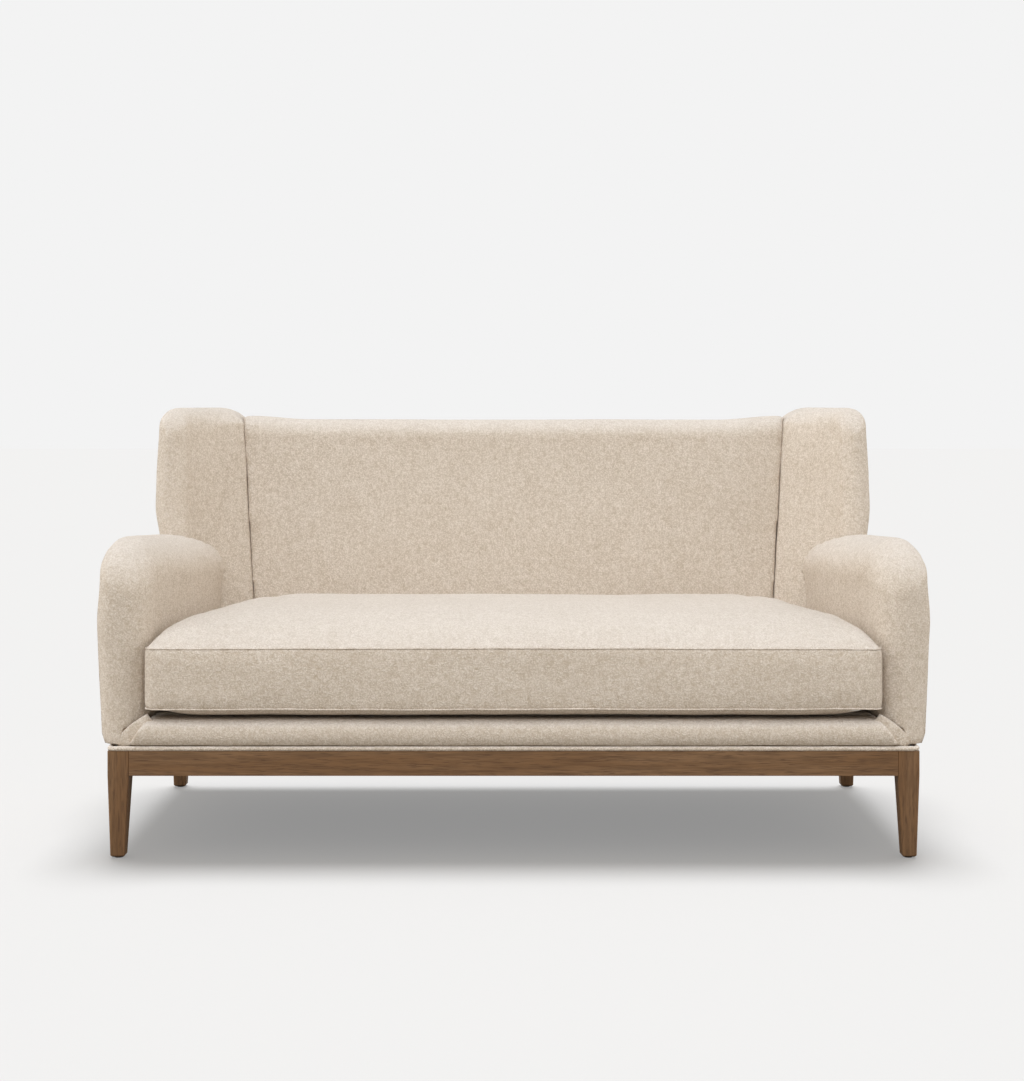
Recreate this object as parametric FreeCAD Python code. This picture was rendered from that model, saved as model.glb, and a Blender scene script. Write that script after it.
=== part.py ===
import FreeCAD, Part
import math
import os

from FreeCAD import Vector

# Two-seat settee with padded wings, rolled arms, one loose bench cushion and a show-wood base.
# It stands on z = 0 and faces -y; x runs across it and the origin is under its middle.
# "Depth" below is measured backwards from the front face of the legs. Millimetres and degrees.

# Overall sizes
base_width = 1740.0
base_depth = 790.0
base_height = 231.0
seat_seam_height = 450.0
arm_height = 688.0
back_height = 944.0
wing_height = 971.0
back_rake = 4.7
back_pitch = 12.3

# Show-wood base
apron_height = 53.0
apron_thickness = 25.0
leg_top_square = 46.0
foot_square = 31.0
foot_outer_taper = 5.0
leg_edge_chamfer = 2.0
foot_chamfer = 3.0
glide_height = 3.0
glide_radius = 10.0
glide_nail_radius = 1.2
glide_nail_length = 18.0
tenon_thickness = 9.0
tenon_shoulder = 8.0
tenon_length = 19.0
tenon_set_back = 8.0
glue_gap = 0.2
brace_thickness = 22.0
brace_height = 36.0
brace_leg_gap = 12.0
screw_radius = 3.5
screw_head_radius = 7.0
screw_head_height = 4.0
screw_grip = 24.0
screw_hole_gap = 0.3
block_drop = 6.0
round_sides = 12

# Hardwood frame of the body
rail_thickness = 30.0
seat_rail_height = 52.0
front_rail_depth = 14.0
side_frame_inset = 20.0
side_frame_thickness = 32.0
stretcher_width = 45.0
stretcher_height = 30.0
arm_post_depth = 36.0
arm_rail_height = 30.0
arm_rail_drop = 4.0
back_frame_inset = 48.0
back_frame_thickness = 38.0
top_rail_drop = 60.0
top_rail_height = 60.0
lower_rail_rise = 28.0
lower_rail_height = 60.0
upright_width = 60.0
wing_board_thickness = 18.0
wing_board_inset = 4.0
wing_board_drop = 63.0
wing_board_corner = 40.0
frame_gap = 0.3

# Suspension and deck
strap_width = 60.0
strap_thickness = 1.5
strap_bearing = 22.0
long_strap_count = 11
cross_strap_count = 4
back_strap_count = 8
weave_gap = 0.1
deck_thickness = 16.0
deck_arm_gap = 1.0
dust_cover_thickness = 1.0
dust_cover_gap = 3.0

# Arms
welt_radius = 5.0
welt_proud = 2.0
arm_front_overhang = 31.5
arm_foot_overhang = 11.0
arm_rear_overhang = 5.0
arm_front_width = 116.5
arm_flare = 0.161
arm_crest_fall = 0.0617
arm_front_bend = 130.0
arm_front_flat = 2.0
arm_outer_nose = 50.0
arm_inner_nose = 60.0
arm_outer_shoulder = 40.0
arm_inner_shoulder_run = 76.0
arm_inner_shoulder_drop = 108.0
arm_wall = 42.0
side_panel_thickness = 5.0
side_panel_gap = 1.0

# Back and wings
back_depth = 187.0
back_knee_height = 450.0
back_roll_drop = 59.0
back_panel_thickness = 6.0
back_panel_inset = 12.0
back_panel_drop = 39.0
wing_length = 374.0
wing_inset = 9.0
wing_outer_taper = 0.045
wing_shear_level = 500.0
wing_outer_nose = 38.0
wing_inner_nose = 46.0
wing_roll_width = 84.0
wing_top_bend = 84.0
wing_seam_inset = 248.0
wing_seam_lean = 0.086
wing_crest_dip = 2.0
wing_front_shoulder = 58.0
wing_front_shoulder_drop = 50.0
wing_seam_shoulder = 110.0
wing_seam_shoulder_drop = 36.0
wing_wall = 44.0
wing_foot_tuck = 22.0

# Border and loose cushion
border_bulge = 8.0
border_height = 60.8
border_depth = 78.0
border_foot_inset = 44.0
border_arm_gap = 1.0
cushion_front_overhang = 12.0
cushion_side_gap = 7.0
cushion_rear_gap = 11.0
cushion_wing_gap = 4.0
cushion_corner_length = 122.0
cushion_lower_seam_rise = 20.3
cushion_crown_rise = 64.0
crown_run_front = 240.0
crown_run_side = 110.0
crown_run_rear = 75.0
underside_run = 60.0
crown_fullness = 0.65
cushion_boxing_bulge = 3.0
cushion_seam_set_in = 3.0
cushion_front_corner = 22.0
cushion_rear_corner = 60.0
cover_thickness = 4.0
wrap_thickness = 26.0
foam_set_in = 6.0
foam_crown = 12.0
lining_gap = 0.3
well_gap = 3.0
zip_inset = 98.0
zip_chain_height = 6.0
zip_chain_depth = 2.0
zip_gap = 0.35
zip_cover_gap = 0.1
zip_end_gap = 4.0
slider_length = 12.0
slider_wall = 1.2

# Levels that follow from those sizes
apron_top = base_height
upholstery_bottom = apron_top + 2 * welt_radius
seat_rail_top = apron_top + seat_rail_height
deck_bottom = seat_rail_top + 2 * strap_thickness + weave_gap + frame_gap
deck_top = deck_bottom + deck_thickness
border_top = upholstery_bottom + border_height
cushion_bottom = deck_top + frame_gap
cushion_lower_seam = cushion_bottom + cushion_lower_seam_rise
cushion_upper_seam = seat_seam_height
cushion_crown = cushion_upper_seam + cushion_crown_rise
arm_bend_start = arm_height - arm_front_bend
top_rail_top = back_height - top_rail_drop
lower_rail_bottom = deck_top + lower_rail_rise
back_panel_top = back_height - back_panel_drop
wing_board_top = wing_height - wing_board_drop
zip_level = (cushion_lower_seam + cushion_upper_seam) / 2

# Depths behind the front face of the legs
front_rail_back = front_rail_depth + rail_thickness
rear_rail_front = base_depth - front_rail_back
back_frame_front = base_depth - back_frame_inset
rear_panel_front = base_depth - back_panel_thickness
inside_back_depth = base_depth - back_depth
wing_front_depth = base_depth - wing_length
cushion_rear_depth = inside_back_depth - cushion_rear_gap
cushion_corner_start = cushion_rear_depth - cushion_corner_length
lean_out = math.tan(math.radians(back_rake))
lean_in = math.tan(math.radians(back_pitch))
overall_depth = cushion_front_overhang + base_depth + (wing_height - apron_top) * lean_out
face_y = cushion_front_overhang - overall_depth / 2

# Half widths, from the middle
half_base = base_width / 2
side_frame_outer = half_base - side_frame_inset
side_frame_inner = side_frame_outer - side_frame_thickness
arm_front_half_width = half_base + arm_front_overhang
arm_foot_half_width = half_base + arm_foot_overhang
arm_rear_half_width = half_base + arm_rear_overhang
arm_inner_half_width = arm_front_half_width - arm_front_width
back_panel_half_width = arm_rear_half_width - back_panel_inset
wing_outer_rear = arm_rear_half_width - wing_inset
wing_seam_half_width = half_base - wing_seam_inset
border_foot_half_width = half_base - border_foot_inset
border_top_half_width = arm_inner_half_width + border_arm_gap
cushion_front_half_width = arm_inner_half_width + arm_flare * (arm_inner_nose + cushion_front_overhang)
cushion_front_half_width -= cushion_side_gap
cushion_corner_half_width = wing_seam_half_width - cushion_wing_gap
zip_half_length = cushion_corner_half_width - zip_inset
far = 2 * base_width


def at(x, depth, z):
    """A point given by its depth behind the front face of the legs."""
    return Vector(x, face_y + depth, z)


def block(x0, x1, d0, d1, z0, z1):
    """A rectangular piece between two corners."""
    return Part.makeBox(x1 - x0, d1 - d0, z1 - z0, at(x0, d0, z0))


def mirrored(shape):
    """The same piece on the other side of the settee."""
    return shape.mirror(Vector(0, 0, 0), Vector(1, 0, 0))


def both(shape):
    """A piece and its mirror image."""
    return [shape, mirrored(shape)]


def outline(start, *steps):
    """A closed wire: a step of one point is a line to it, and one of two is an arc through the first."""
    edges = []
    here = start
    for step in steps:
        if len(step) == 1:
            edges.append(Part.LineSegment(here, step[0]).toShape())
        else:
            edges.append(Part.Arc(here, step[0], step[1]).toShape())
        here = step[-1]
    if here.distanceToPoint(start) > 1e-6:
        edges.append(Part.LineSegment(here, start).toShape())
    return Part.Wire(edges)


def rounded(points, radii, place):
    """A closed wire through flat points, each corner rounded to its radius and placed by a function."""
    steps = []
    count = len(points)
    for i, (corner, radius) in enumerate(zip(points, radii)):
        before = points[i - 1]
        after = points[(i + 1) % count]
        towards = [(p[0] - corner[0], p[1] - corner[1]) for p in (before, after)]
        lengths = [math.hypot(*t) for t in towards]
        ends = [(t[0] / n, t[1] / n) for t, n in zip(towards, lengths)]
        half = math.acos(max(-1.0, min(1.0, ends[0][0] * ends[1][0] + ends[0][1] * ends[1][1]))) / 2
        reach = radius / math.tan(half)
        start = [corner[k] + ends[0][k] * reach for k in (0, 1)]
        finish = [corner[k] + ends[1][k] * reach for k in (0, 1)]
        inward = [ends[0][k] + ends[1][k] for k in (0, 1)]
        size = math.hypot(*inward)
        centre_way = radius / math.sin(half)
        middle = [corner[k] + inward[k] / size * (centre_way - radius) for k in (0, 1)]
        steps.append((start, middle, finish))
    edges = []
    for i, (start, middle, finish) in enumerate(steps):
        following = steps[(i + 1) % count][0]
        edges.append(Part.Arc(place(*start), place(*middle), place(*finish)).toShape())
        edges.append(Part.LineSegment(place(*finish), place(*following)).toShape())
    return Part.Wire(edges)


def chamfered(points, size, place):
    """The corners of a flat outline, each cut off by a size and placed by a function."""
    ring = []
    for i, corner in enumerate(points):
        for other in (points[i - 1], points[(i + 1) % len(points)]):
            length = math.hypot(other[0] - corner[0], other[1] - corner[1])
            ring.append(place(*[c + (o - c) * size / length for c, o in zip(corner, other)]))
    return ring


def flat_sided(rings):
    """A closed solid with flat faces through rings of points, whose matching edges run parallel."""
    faces = [Part.Face(Part.makePolygon(ring + ring[:1])) for ring in (rings[0], rings[-1])]
    for low, high in zip(rings, rings[1:]):
        for i in range(len(low)):
            corners = [low[i - 1], low[i], high[i], high[i - 1]]
            faces.append(Part.Face(Part.makePolygon(corners + corners[:1])))
    solid = Part.Solid(Part.Shell(faces))
    if solid.Volume < 0:
        solid.reverse()
    return solid


def bar(radius, foot, height, top_radius=None):
    """Upright round bar with flat sides, its foot's centre given as a point."""
    rings = []
    for r, z in ((radius, 0.0), (top_radius or radius, height)):
        angles = [2 * math.pi * i / round_sides for i in range(round_sides)]
        rings.append([foot + Vector(r * math.cos(a), r * math.sin(a), z) for a in angles])
    return flat_sided(rings)


def prism(wire, way):
    """A flat closed wire drawn out along a direction."""
    return Part.Face(wire).extrude(way)


def side_prism(x0, x1, start, *steps):
    """A profile of (depth, z) points seen from the side, drawn from x0 to x1."""
    placed = [[at(x0, *p) for p in step] for step in steps]
    return prism(outline(at(x0, *start), *placed), Vector(x1 - x0, 0, 0))


def cut(shape, *tools):
    """A solid less all the tools."""
    for tool in tools:
        shape = shape.cut(tool)
    return shape.removeSplitter() if shape.Solids else shape


def raked(shape):
    """A piece drawn upright, leaned back with the rear of the settee."""
    turned = shape.copy()
    turned.rotate(at(0, base_depth, apron_top), Vector(1, 0, 0), -back_rake)
    return turned


def nose(depth, radius):
    """How far a face rounded to this radius still lies behind its full width at this depth."""
    left = radius - min(depth, radius)
    return radius - math.sqrt(radius**2 - left**2)


# Base: legs, aprons, braces, glides and the screws that hold the body down


def leg():
    """Front right leg: square where the aprons meet it, tapering below them on all four sides."""
    outer = half_base
    inner = outer - leg_top_square
    foot_outer = outer - foot_outer_taper
    foot_inner = foot_outer - foot_square
    shoulder = apron_top - apron_height

    def square(x0, x1, d0, d1, z):
        corners = [(x0, d0), (x1, d0), (x1, d1), (x0, d1)]
        return chamfered(corners, leg_edge_chamfer, lambda x, d: at(x, d, z))

    top = square(inner, outer, 0, leg_top_square, shoulder)
    foot = square(
        foot_inner,
        foot_outer,
        foot_outer_taper,
        foot_outer_taper + foot_square,
        glide_height + foot_chamfer,
    )
    tread = square(
        foot_inner + foot_chamfer,
        foot_outer - foot_chamfer,
        foot_outer_taper + foot_chamfer,
        foot_outer_taper + foot_square - foot_chamfer,
        glide_height,
    )
    head = square(inner, outer, 0, leg_top_square, apron_top)
    mortises = [grown_tenon(t) for t in (front_tenon(), side_tenon())]
    return cut(flat_sided([tread, foot, top, head]), *mortises, glide_nail(glide_centre()))


def glide_centre():
    """Where the glide is nailed under the front right foot."""
    middle = foot_outer_taper + foot_square / 2
    return half_base - middle, middle


def tenon_levels():
    """Bottom and top of every tenon, set in from the apron's edges."""
    return apron_top - apron_height + tenon_shoulder, apron_top - tenon_shoulder


def front_tenon():
    """The tenon of a front or rear apron, as corners of a block."""
    inner = half_base - leg_top_square
    low, high = tenon_levels()
    return [inner, inner + tenon_length, tenon_set_back, tenon_set_back + tenon_thickness, low, high]


def side_tenon():
    """The tenon of a side apron, as corners of a block."""
    outer = half_base - tenon_set_back
    low, high = tenon_levels()
    return [outer - tenon_thickness, outer, leg_top_square - tenon_length, leg_top_square, low, high]


def grown_tenon(corners):
    """The mortise for a tenon, larger by the glue gap on its faces and end."""
    x0, x1, d0, d1, z0, z1 = corners
    g = glue_gap
    return block(x0 - g, x1 + g, d0 - g, d1 + g, z0 - g, z1 + g)


def long_apron():
    """Front apron, flush with the legs, with a tenon at each end."""
    reach = half_base - leg_top_square
    board = block(-reach, reach, 0, apron_thickness, apron_top - apron_height, apron_top)
    tongue = block(*front_tenon())
    return board.fuse([tongue, mirrored(tongue)]).removeSplitter()


def side_apron():
    """Right apron, flush with the legs, with a tenon at each end."""
    board = block(
        half_base - apron_thickness,
        half_base,
        leg_top_square,
        base_depth - leg_top_square,
        apron_top - apron_height,
        apron_top,
    )
    tongue = block(*side_tenon())
    return board.fuse([tongue, to_rear(tongue)]).removeSplitter()


def to_rear(shape):
    """The same piece at the rear of the base."""
    return shape.mirror(at(0, base_depth / 2, 0), Vector(0, 1, 0))


def brace_offset():
    """How far the brace's outer and inner faces stand from the corner, along each apron."""
    start = 2 * leg_top_square - apron_thickness + brace_leg_gap
    return start, start + brace_thickness * math.sqrt(2)


def brace():
    """Glued diagonal brace across the front right corner, drilled for its screw."""
    near, far = brace_offset()
    a = apron_thickness
    corners = [(a, near), (a, far), (far, a), (near, a)]
    points = [at(half_base - u, v, apron_top - brace_height) for u, v in corners]
    body = prism(Part.makePolygon(points + points[:1]), Vector(0, 0, brace_height))
    return cut(body, screw_shank(screw_radius + screw_hole_gap))


def screw_place():
    """The axis of the screw through the front right brace."""
    near, far = brace_offset()
    middle = (near + far) / 2 + apron_thickness
    return half_base - middle / 2, middle / 2


def screw_shank(radius):
    """A round hole or shank on the screw's axis, from under the brace up into the body's corner block."""
    x, depth = screw_place()
    return bar(radius, at(x, depth, apron_top - brace_height), brace_height + screw_grip)


def base_screw():
    """Pan-head screw driven up through the brace into the corner block of the body."""
    x, depth = screw_place()
    under = at(x, depth, apron_top - brace_height - screw_head_height)
    head = bar(screw_head_radius * 0.7, under, screw_head_height, screw_head_radius)
    return head.fuse(screw_shank(screw_radius)).removeSplitter()


def corner_block():
    """Block glued into the front right corner of the body frame; the base screws bite into it."""
    x, depth = screw_place()
    inner = side_frame_inner
    reach = (inner - x) + (depth - front_rail_back) + screw_head_radius * 2.6
    points = [(inner, front_rail_back), (inner - reach, front_rail_back), (inner, front_rail_back + reach)]
    placed = [at(u, v, apron_top) for u, v in points]
    body = prism(Part.makePolygon(placed + placed[:1]), Vector(0, 0, seat_rail_height - block_drop))
    return cut(body, screw_shank(screw_radius + screw_hole_gap))


def glide_nail(centre):
    """The nail of a glide, as it stands in the foot."""
    return bar(glide_nail_radius, at(centre[0], centre[1], glide_height), glide_nail_length)


def glide():
    """Round nail-on glide under the front right foot."""
    x, depth = glide_centre()
    disc = bar(glide_radius - 1.0, at(x, depth, 0), glide_height, glide_radius)
    return disc.fuse(glide_nail((x, depth))).removeSplitter()


def four(shape):
    """A corner piece repeated at all four corners."""
    rear = to_rear(shape)
    return Part.makeCompound([shape, mirrored(shape), rear, mirrored(rear)])


# Body frame


def side_member(d0, d1, z0, z1):
    """A member of the right side frame."""
    return block(side_frame_inner, side_frame_outer, d0, d1, z0, z1)


def seat_rail(half, depth):
    """A rail across the body, which lies on the base."""
    return block(-half, half, depth, depth + rail_thickness, apron_top, seat_rail_top)


def seat_rail_side():
    """Right side rail, from the front rail to the rear post."""
    tail = back_post_front(seat_rail_top) + frame_gap
    return side_member(front_rail_back, tail, apron_top, seat_rail_top).cut(back_post())


def back_post():
    """Right rear post: leans back with the rear panel, its foot cut level on the base."""
    post = raked(
        block(
            side_frame_inner,
            side_frame_outer,
            back_frame_front,
            back_frame_front + back_frame_thickness,
            apron_top - 40.0,
            top_rail_top,
        )
    )
    return post.cut(block(-far, far, 0, far, 0, apron_top))


def back_post_front(z):
    """Depth of the post's front face at a level."""
    tilt = math.radians(back_rake)
    return base_depth - back_frame_inset / math.cos(tilt) + (z - apron_top) * math.tan(tilt)


def arm_rail_level(depth):
    """Level of the arm rail's top, which falls to the rear with the arm."""
    return arm_crest_line(depth) - arm_wall - arm_rail_drop


def arm_post():
    """Right front post of the arm, standing on the side rail and carrying the arm rail."""
    d0 = front_rail_back
    d1 = d0 + arm_post_depth
    drop = arm_rail_height
    post = side_prism(
        side_frame_inner,
        side_frame_outer,
        (d0, seat_rail_top),
        [(d0, arm_rail_level(d0) - drop)],
        [(d1, arm_rail_level(d1) - drop)],
        [(d1, seat_rail_top)],
    )
    return post.common(side_hollow(arm_wall + arm_rail_drop, far))


def arm_rail():
    """Right arm rail, rounded with the arm at its front and cut to the rear post."""
    d0 = front_rail_back
    d1 = base_depth
    drop = arm_rail_height
    rail = side_prism(
        side_frame_inner,
        side_frame_outer,
        (d0, arm_rail_level(d0) - drop),
        [(d0, arm_rail_level(d0))],
        [(d1, arm_rail_level(d1))],
        [(d1, arm_rail_level(d1) - drop)],
    )
    return rail.common(side_hollow(arm_wall + arm_rail_drop, far)).cut(behind(back_frame_front))


def wing_board():
    """Plywood side of the right wing, standing on the arm rail against the rear post."""
    x0 = side_frame_inner + wing_board_inset
    setback = wing_wall + wing_board_inset
    low = arm_bend_start
    turn = wing_board_top - wing_board_corner
    tail = 2 * base_depth
    board = side_prism(
        x0,
        x0 + wing_board_thickness,
        leaned(wing_front_depth + setback, low),
        [leaned(wing_front_depth + setback, turn)],
        [leaned(wing_front_depth + setback + wing_board_corner, wing_board_top)],
        [(tail, wing_board_top)],
        [(tail, low)],
    )
    return cut(board, behind(back_frame_front - frame_gap), under_line(arm_rail_level))


def under_line(level):
    """Everything on the right side below a line that is given as a level for each depth."""
    d0 = -base_depth
    d1 = 2 * base_depth
    return side_prism(half_base / 2, far, (d0, 0), [(d0, level(d0))], [(d1, level(d1))], [(d1, 0)])


def back_rail(z0, z1):
    """A rail between the rear posts, leaning with them."""
    return raked(
        block(
            -side_frame_inner,
            side_frame_inner,
            back_frame_front,
            back_frame_front + back_frame_thickness,
            z0,
            z1,
        )
    )


def back_upright():
    """Middle upright between the lower rail and the top rail."""
    return raked(
        block(
            -upright_width / 2,
            upright_width / 2,
            back_frame_front + strap_thickness,
            back_frame_front + back_frame_thickness,
            lower_rail_bottom + lower_rail_height,
            top_rail_top - top_rail_height,
        )
    )


def seat_stretcher():
    """Middle stretcher under the webbing, from the front rail to the rear rail."""
    return block(
        -stretcher_width / 2,
        stretcher_width / 2,
        front_rail_back,
        rear_rail_front,
        apron_top,
        apron_top + stretcher_height,
    )


# Suspension and deck


def long_strap_pitch():
    """Spacing of the straps across the seat, with half a space more at each end."""
    return 2 * side_frame_inner / (long_strap_count + 1.5)


def long_straps():
    """Webbing straps from the front rail to the rear rail."""
    pitch = long_strap_pitch()
    first = -(long_strap_count - 1) / 2 * pitch
    d0 = front_rail_back - strap_bearing
    d1 = rear_rail_front + strap_bearing
    straps = []
    for i in range(long_strap_count):
        x = first + i * pitch
        x0 = x - strap_width / 2
        straps.append(block(x0, x0 + strap_width, d0, d1, seat_rail_top, seat_rail_top + strap_thickness))
    return Part.makeCompound(straps)


def cross_strap(depth, first_over):
    """One strap across the seat, woven over and under the long straps and tacked to the side rails."""
    rise = strap_thickness + weave_gap
    end = side_frame_inner + strap_bearing
    points = [(-end, 0.0), (-side_frame_inner + 2.0, 0.0)]
    over = first_over
    for i in range(long_strap_count):
        x = (i - (long_strap_count - 1) / 2) * long_strap_pitch()
        level = rise if over else -rise
        flat = strap_width / 2 + 4.0
        points += [(x - flat, level), (x + flat, level)]
        over = not over
    points += [(side_frame_inner - 2.0, 0.0), (end, 0.0)]
    d0 = depth - strap_width / 2
    low = [at(x, d0, seat_rail_top + z) for x, z in points]
    high = [p + Vector(0, 0, strap_thickness) for p in reversed(low)]
    return prism(Part.makePolygon(low + high + low[:1]), Vector(0, strap_width, 0))


def cross_straps():
    """All the cross straps, each woven the other way from its neighbour."""
    pitch = (rear_rail_front - front_rail_back) / (cross_strap_count + 1)
    straps = []
    for i in range(cross_strap_count):
        depth = front_rail_back + (i + 1) * pitch
        straps.append(cross_strap(depth, i % 2 == 0))
    return Part.makeCompound(straps)


def back_straps():
    """Upright webbing on the front of the back frame."""
    straps = []
    pitch = 2 * side_frame_inner / (back_strap_count + 1)
    for i in range(back_strap_count):
        x = (i - (back_strap_count - 1) / 2) * pitch
        straps.append(
            raked(
                block(
                    x - strap_width / 2,
                    x + strap_width / 2,
                    back_frame_front - strap_thickness,
                    back_frame_front,
                    lower_rail_bottom + lower_rail_height - strap_bearing * 2,
                    top_rail_top - top_rail_height + strap_bearing * 2,
                )
            )
        )
    return Part.makeCompound(straps)


def seat_deck():
    """Padded deck over the webbing, between the arms and behind the border."""
    d0 = border_depth + 2.0
    d1 = inside_back_depth - 3.0
    half = [arm_inner(d) - deck_arm_gap for d in (d0, cushion_corner_start)]
    corner = cushion_corner_half_width
    points = [(-half[0], d0), (half[0], d0), (half[1], cushion_corner_start), (corner, d1)]
    points += [(-corner, d1), (-half[1], cushion_corner_start)]
    placed = [at(x, d, deck_bottom) for x, d in points]
    return prism(Part.makePolygon(placed + placed[:1]), Vector(0, 0, deck_top - deck_bottom))


# Arms


def arm_inner(depth):
    """Half width between the arms at a depth, ahead of any rounding."""
    return arm_inner_half_width - (depth - arm_inner_nose) * arm_flare


def arm_outer(depth, at_front):
    """Outer face of the arm at a depth, from its half width at the front."""
    return at_front + (arm_rear_half_width - at_front) * depth / base_depth


def arm_crest_line(depth):
    """Level of the straight line along the arm's top, which falls to the rear."""
    return arm_bend_start + arm_front_bend - (depth - arm_front_bend) * arm_crest_fall


def arm_crest(depth):
    """Level of the arm's top at a depth: a quarter bend at the front, then the straight fall."""
    if depth < arm_front_bend:
        return arm_bend_start + math.sqrt(arm_front_bend**2 - (arm_front_bend - depth) ** 2)
    return arm_crest_line(depth)


def arm_section(depth):
    """Upright section across the right arm at a depth, its nose drawn in."""
    tuck = nose(depth, arm_outer_nose)
    inner = arm_inner(depth) + nose(depth, arm_inner_nose)
    outer = arm_outer(depth, arm_front_half_width) - tuck
    foot = arm_outer(depth, arm_foot_half_width) - tuck
    share = min((outer - inner) / arm_front_width, 1.0)
    return outline(*arm_profile(depth, inner, foot, outer, share))


def arm_profile(depth, inner, foot, outer, share):
    """Points of an arm section between three half widths, its shoulders made smaller by a share."""
    crest = arm_crest(depth)
    shoulder = arm_outer_shoulder * share
    run = arm_inner_shoulder_run * share
    drop = arm_inner_shoulder_drop * share
    bow = 1 - math.sqrt(0.5)

    def p(x, z):
        return at(x, depth, z)

    return [
        p(inner, upholstery_bottom),
        [p(foot, upholstery_bottom)],
        [p(outer, crest - shoulder)],
        [p(outer - shoulder * bow, crest - shoulder * bow), p(outer - shoulder, crest)],
        [p(inner + run, crest)],
        [p(inner + run * bow, crest - drop * bow), p(inner, crest - drop)],
    ]


def arm_inner_mask(depth, inner):
    """Outline of everything outwards of an arm's inner face and shoulder at a depth."""
    crest = arm_crest(depth)
    run = arm_inner_shoulder_run
    drop = arm_inner_shoulder_drop
    bow = 1 - math.sqrt(0.5)
    wide = inner + 2 * arm_front_width
    low = upholstery_bottom - arm_front_width
    high = crest + arm_front_width

    def p(x, z):
        return at(x, depth, z)

    return [
        p(inner, low),
        [p(wide, low)],
        [p(wide, high)],
        [p(inner + run, high)],
        [p(inner + run, crest)],
        [p(inner + run * bow, crest - drop * bow), p(inner, crest - drop)],
    ]


def arm_side(profile, slope):
    """The long part of an arm with one side's slope, its arcs drawn square to the run."""
    first = profile[0]
    steps = []
    for step in profile[1:]:
        steps.append([point + slope * ((first - point).dot(slope) / slope.dot(slope)) for point in step])
    solid = prism(outline(first, *steps), slope * (2 * base_depth))
    solid.translate(slope * -arm_front_bend)
    return solid


def arm_form():
    """Whole outer form of the right arm: two drawn-out sides that meet, and a lofted front roll."""
    start = arm_front_bend
    inner = arm_inner(start)
    outer = arm_outer(start, arm_front_half_width)
    foot = arm_outer(start, arm_foot_half_width)
    narrowing = (arm_rear_half_width - arm_front_half_width) / base_depth
    outside = arm_profile(start, inner - arm_front_width, foot, outer, 1.0)
    inside = arm_inner_mask(start, inner)
    long_part = arm_side(outside, Vector(narrowing, 1, -arm_crest_fall))
    long_part = long_part.common(arm_side(inside, Vector(-arm_flare, 1, -arm_crest_fall)))
    long_part = long_part.common(block(0, far, start, base_depth + 60.0, upholstery_bottom, far))
    front = min(long_part.removeSplitter().Faces, key=lambda face: face.CenterOfMass.y)
    fronts = [arm_section(d) for d in (arm_front_flat, 9.0, 24.0, arm_outer_nose, 84.0)]
    roll = Part.makeLoft(fronts + [from_lowest(front.OuterWire)], True, True)
    return roll.fuse(long_part).removeSplitter()


def from_lowest(wire):
    """The same closed wire, its edges put in order from the inner end of its lowest edge outwards."""
    edges = Part.sortEdges(wire.Edges)[0]
    lowest = min(edges, key=lambda edge: edge.CenterOfMass.z)
    if lowest.firstVertex(True).X > lowest.lastVertex(True).X:
        edges = [edge.reversed() for edge in reversed(edges)]
    first = min(range(len(edges)), key=lambda i: edges[i].CenterOfMass.z)
    return Part.Wire(edges[first:] + edges[:first])


def side_hollow(wall, outer):
    """The hollow inside the right arm, open to the outside, seen from the side."""
    bend = arm_front_bend - wall
    level = arm_bend_start
    bow = math.sqrt(0.5)
    tail = 2 * base_depth
    top = arm_crest(arm_front_bend) - wall
    end = top - (tail - arm_front_bend) * arm_crest_fall
    return side_prism(
        side_frame_inner - frame_gap,
        outer,
        (wall, apron_top),
        [(wall, level)],
        [(arm_front_bend - bend * bow, level + bend * bow), (arm_front_bend, top)],
        [(tail, end)],
        [(tail, apron_top)],
    )


def behind(depth):
    """Everything behind a plane that leans with the settee's rear face."""
    return raked(block(-far, far, depth, depth + far, -far, far))


def outside_arm_panel():
    """Right outside arm: a thin board and cover, flush in the arm's open side."""
    wires = []
    for depth in (0.0, base_depth + 60.0):
        foot = arm_outer(depth, arm_foot_half_width) - side_panel_gap
        head = arm_outer(depth, arm_front_half_width) - side_panel_gap
        top = arm_crest(arm_front_bend)
        low = upholstery_bottom
        rise = (top - low) / (arm_bend_start - low)
        high = foot + (head - foot) * min(rise, 1.0)
        t = side_panel_thickness
        corners = [(foot - t, low), (foot, low), (high, top), (high - t, top)]
        points = [at(x, depth, z) for x, z in corners]
        wires.append(Part.makePolygon(points + points[:1]))
    slab = Part.makeLoft(wires, True, True)
    opening = side_hollow(arm_wall + frame_gap, far)
    return cut(slab.common(opening), behind(base_depth), back_panel_space())


# Back and wings


def back_panel():
    """Outside back: a flat board and cover on the rear posts."""
    return raked(
        block(
            -back_panel_half_width,
            back_panel_half_width,
            rear_panel_front,
            base_depth,
            upholstery_bottom,
            back_panel_top,
        )
    )


def back_panel_space():
    """The outside back with a little room round it, cut out of its neighbours."""
    g = frame_gap
    return raked(
        block(
            -back_panel_half_width - g,
            back_panel_half_width + g,
            rear_panel_front - g,
            base_depth + 20.0,
            upholstery_bottom - 20.0,
            back_panel_top + g,
        )
    )


def back_frame_space():
    """Room for the back frame and its webbing, cut out of the pads."""
    g = frame_gap
    return raked(
        block(
            -side_frame_outer - g,
            side_frame_outer + g,
            back_frame_front - strap_thickness - g,
            base_depth,
            apron_top - 30.0,
            top_rail_top + g,
        )
    )


def inside_back_face(z):
    """Depth of the inside back's face at a level."""
    return inside_back_depth + max(z - back_knee_height, 0.0) * lean_in


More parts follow.
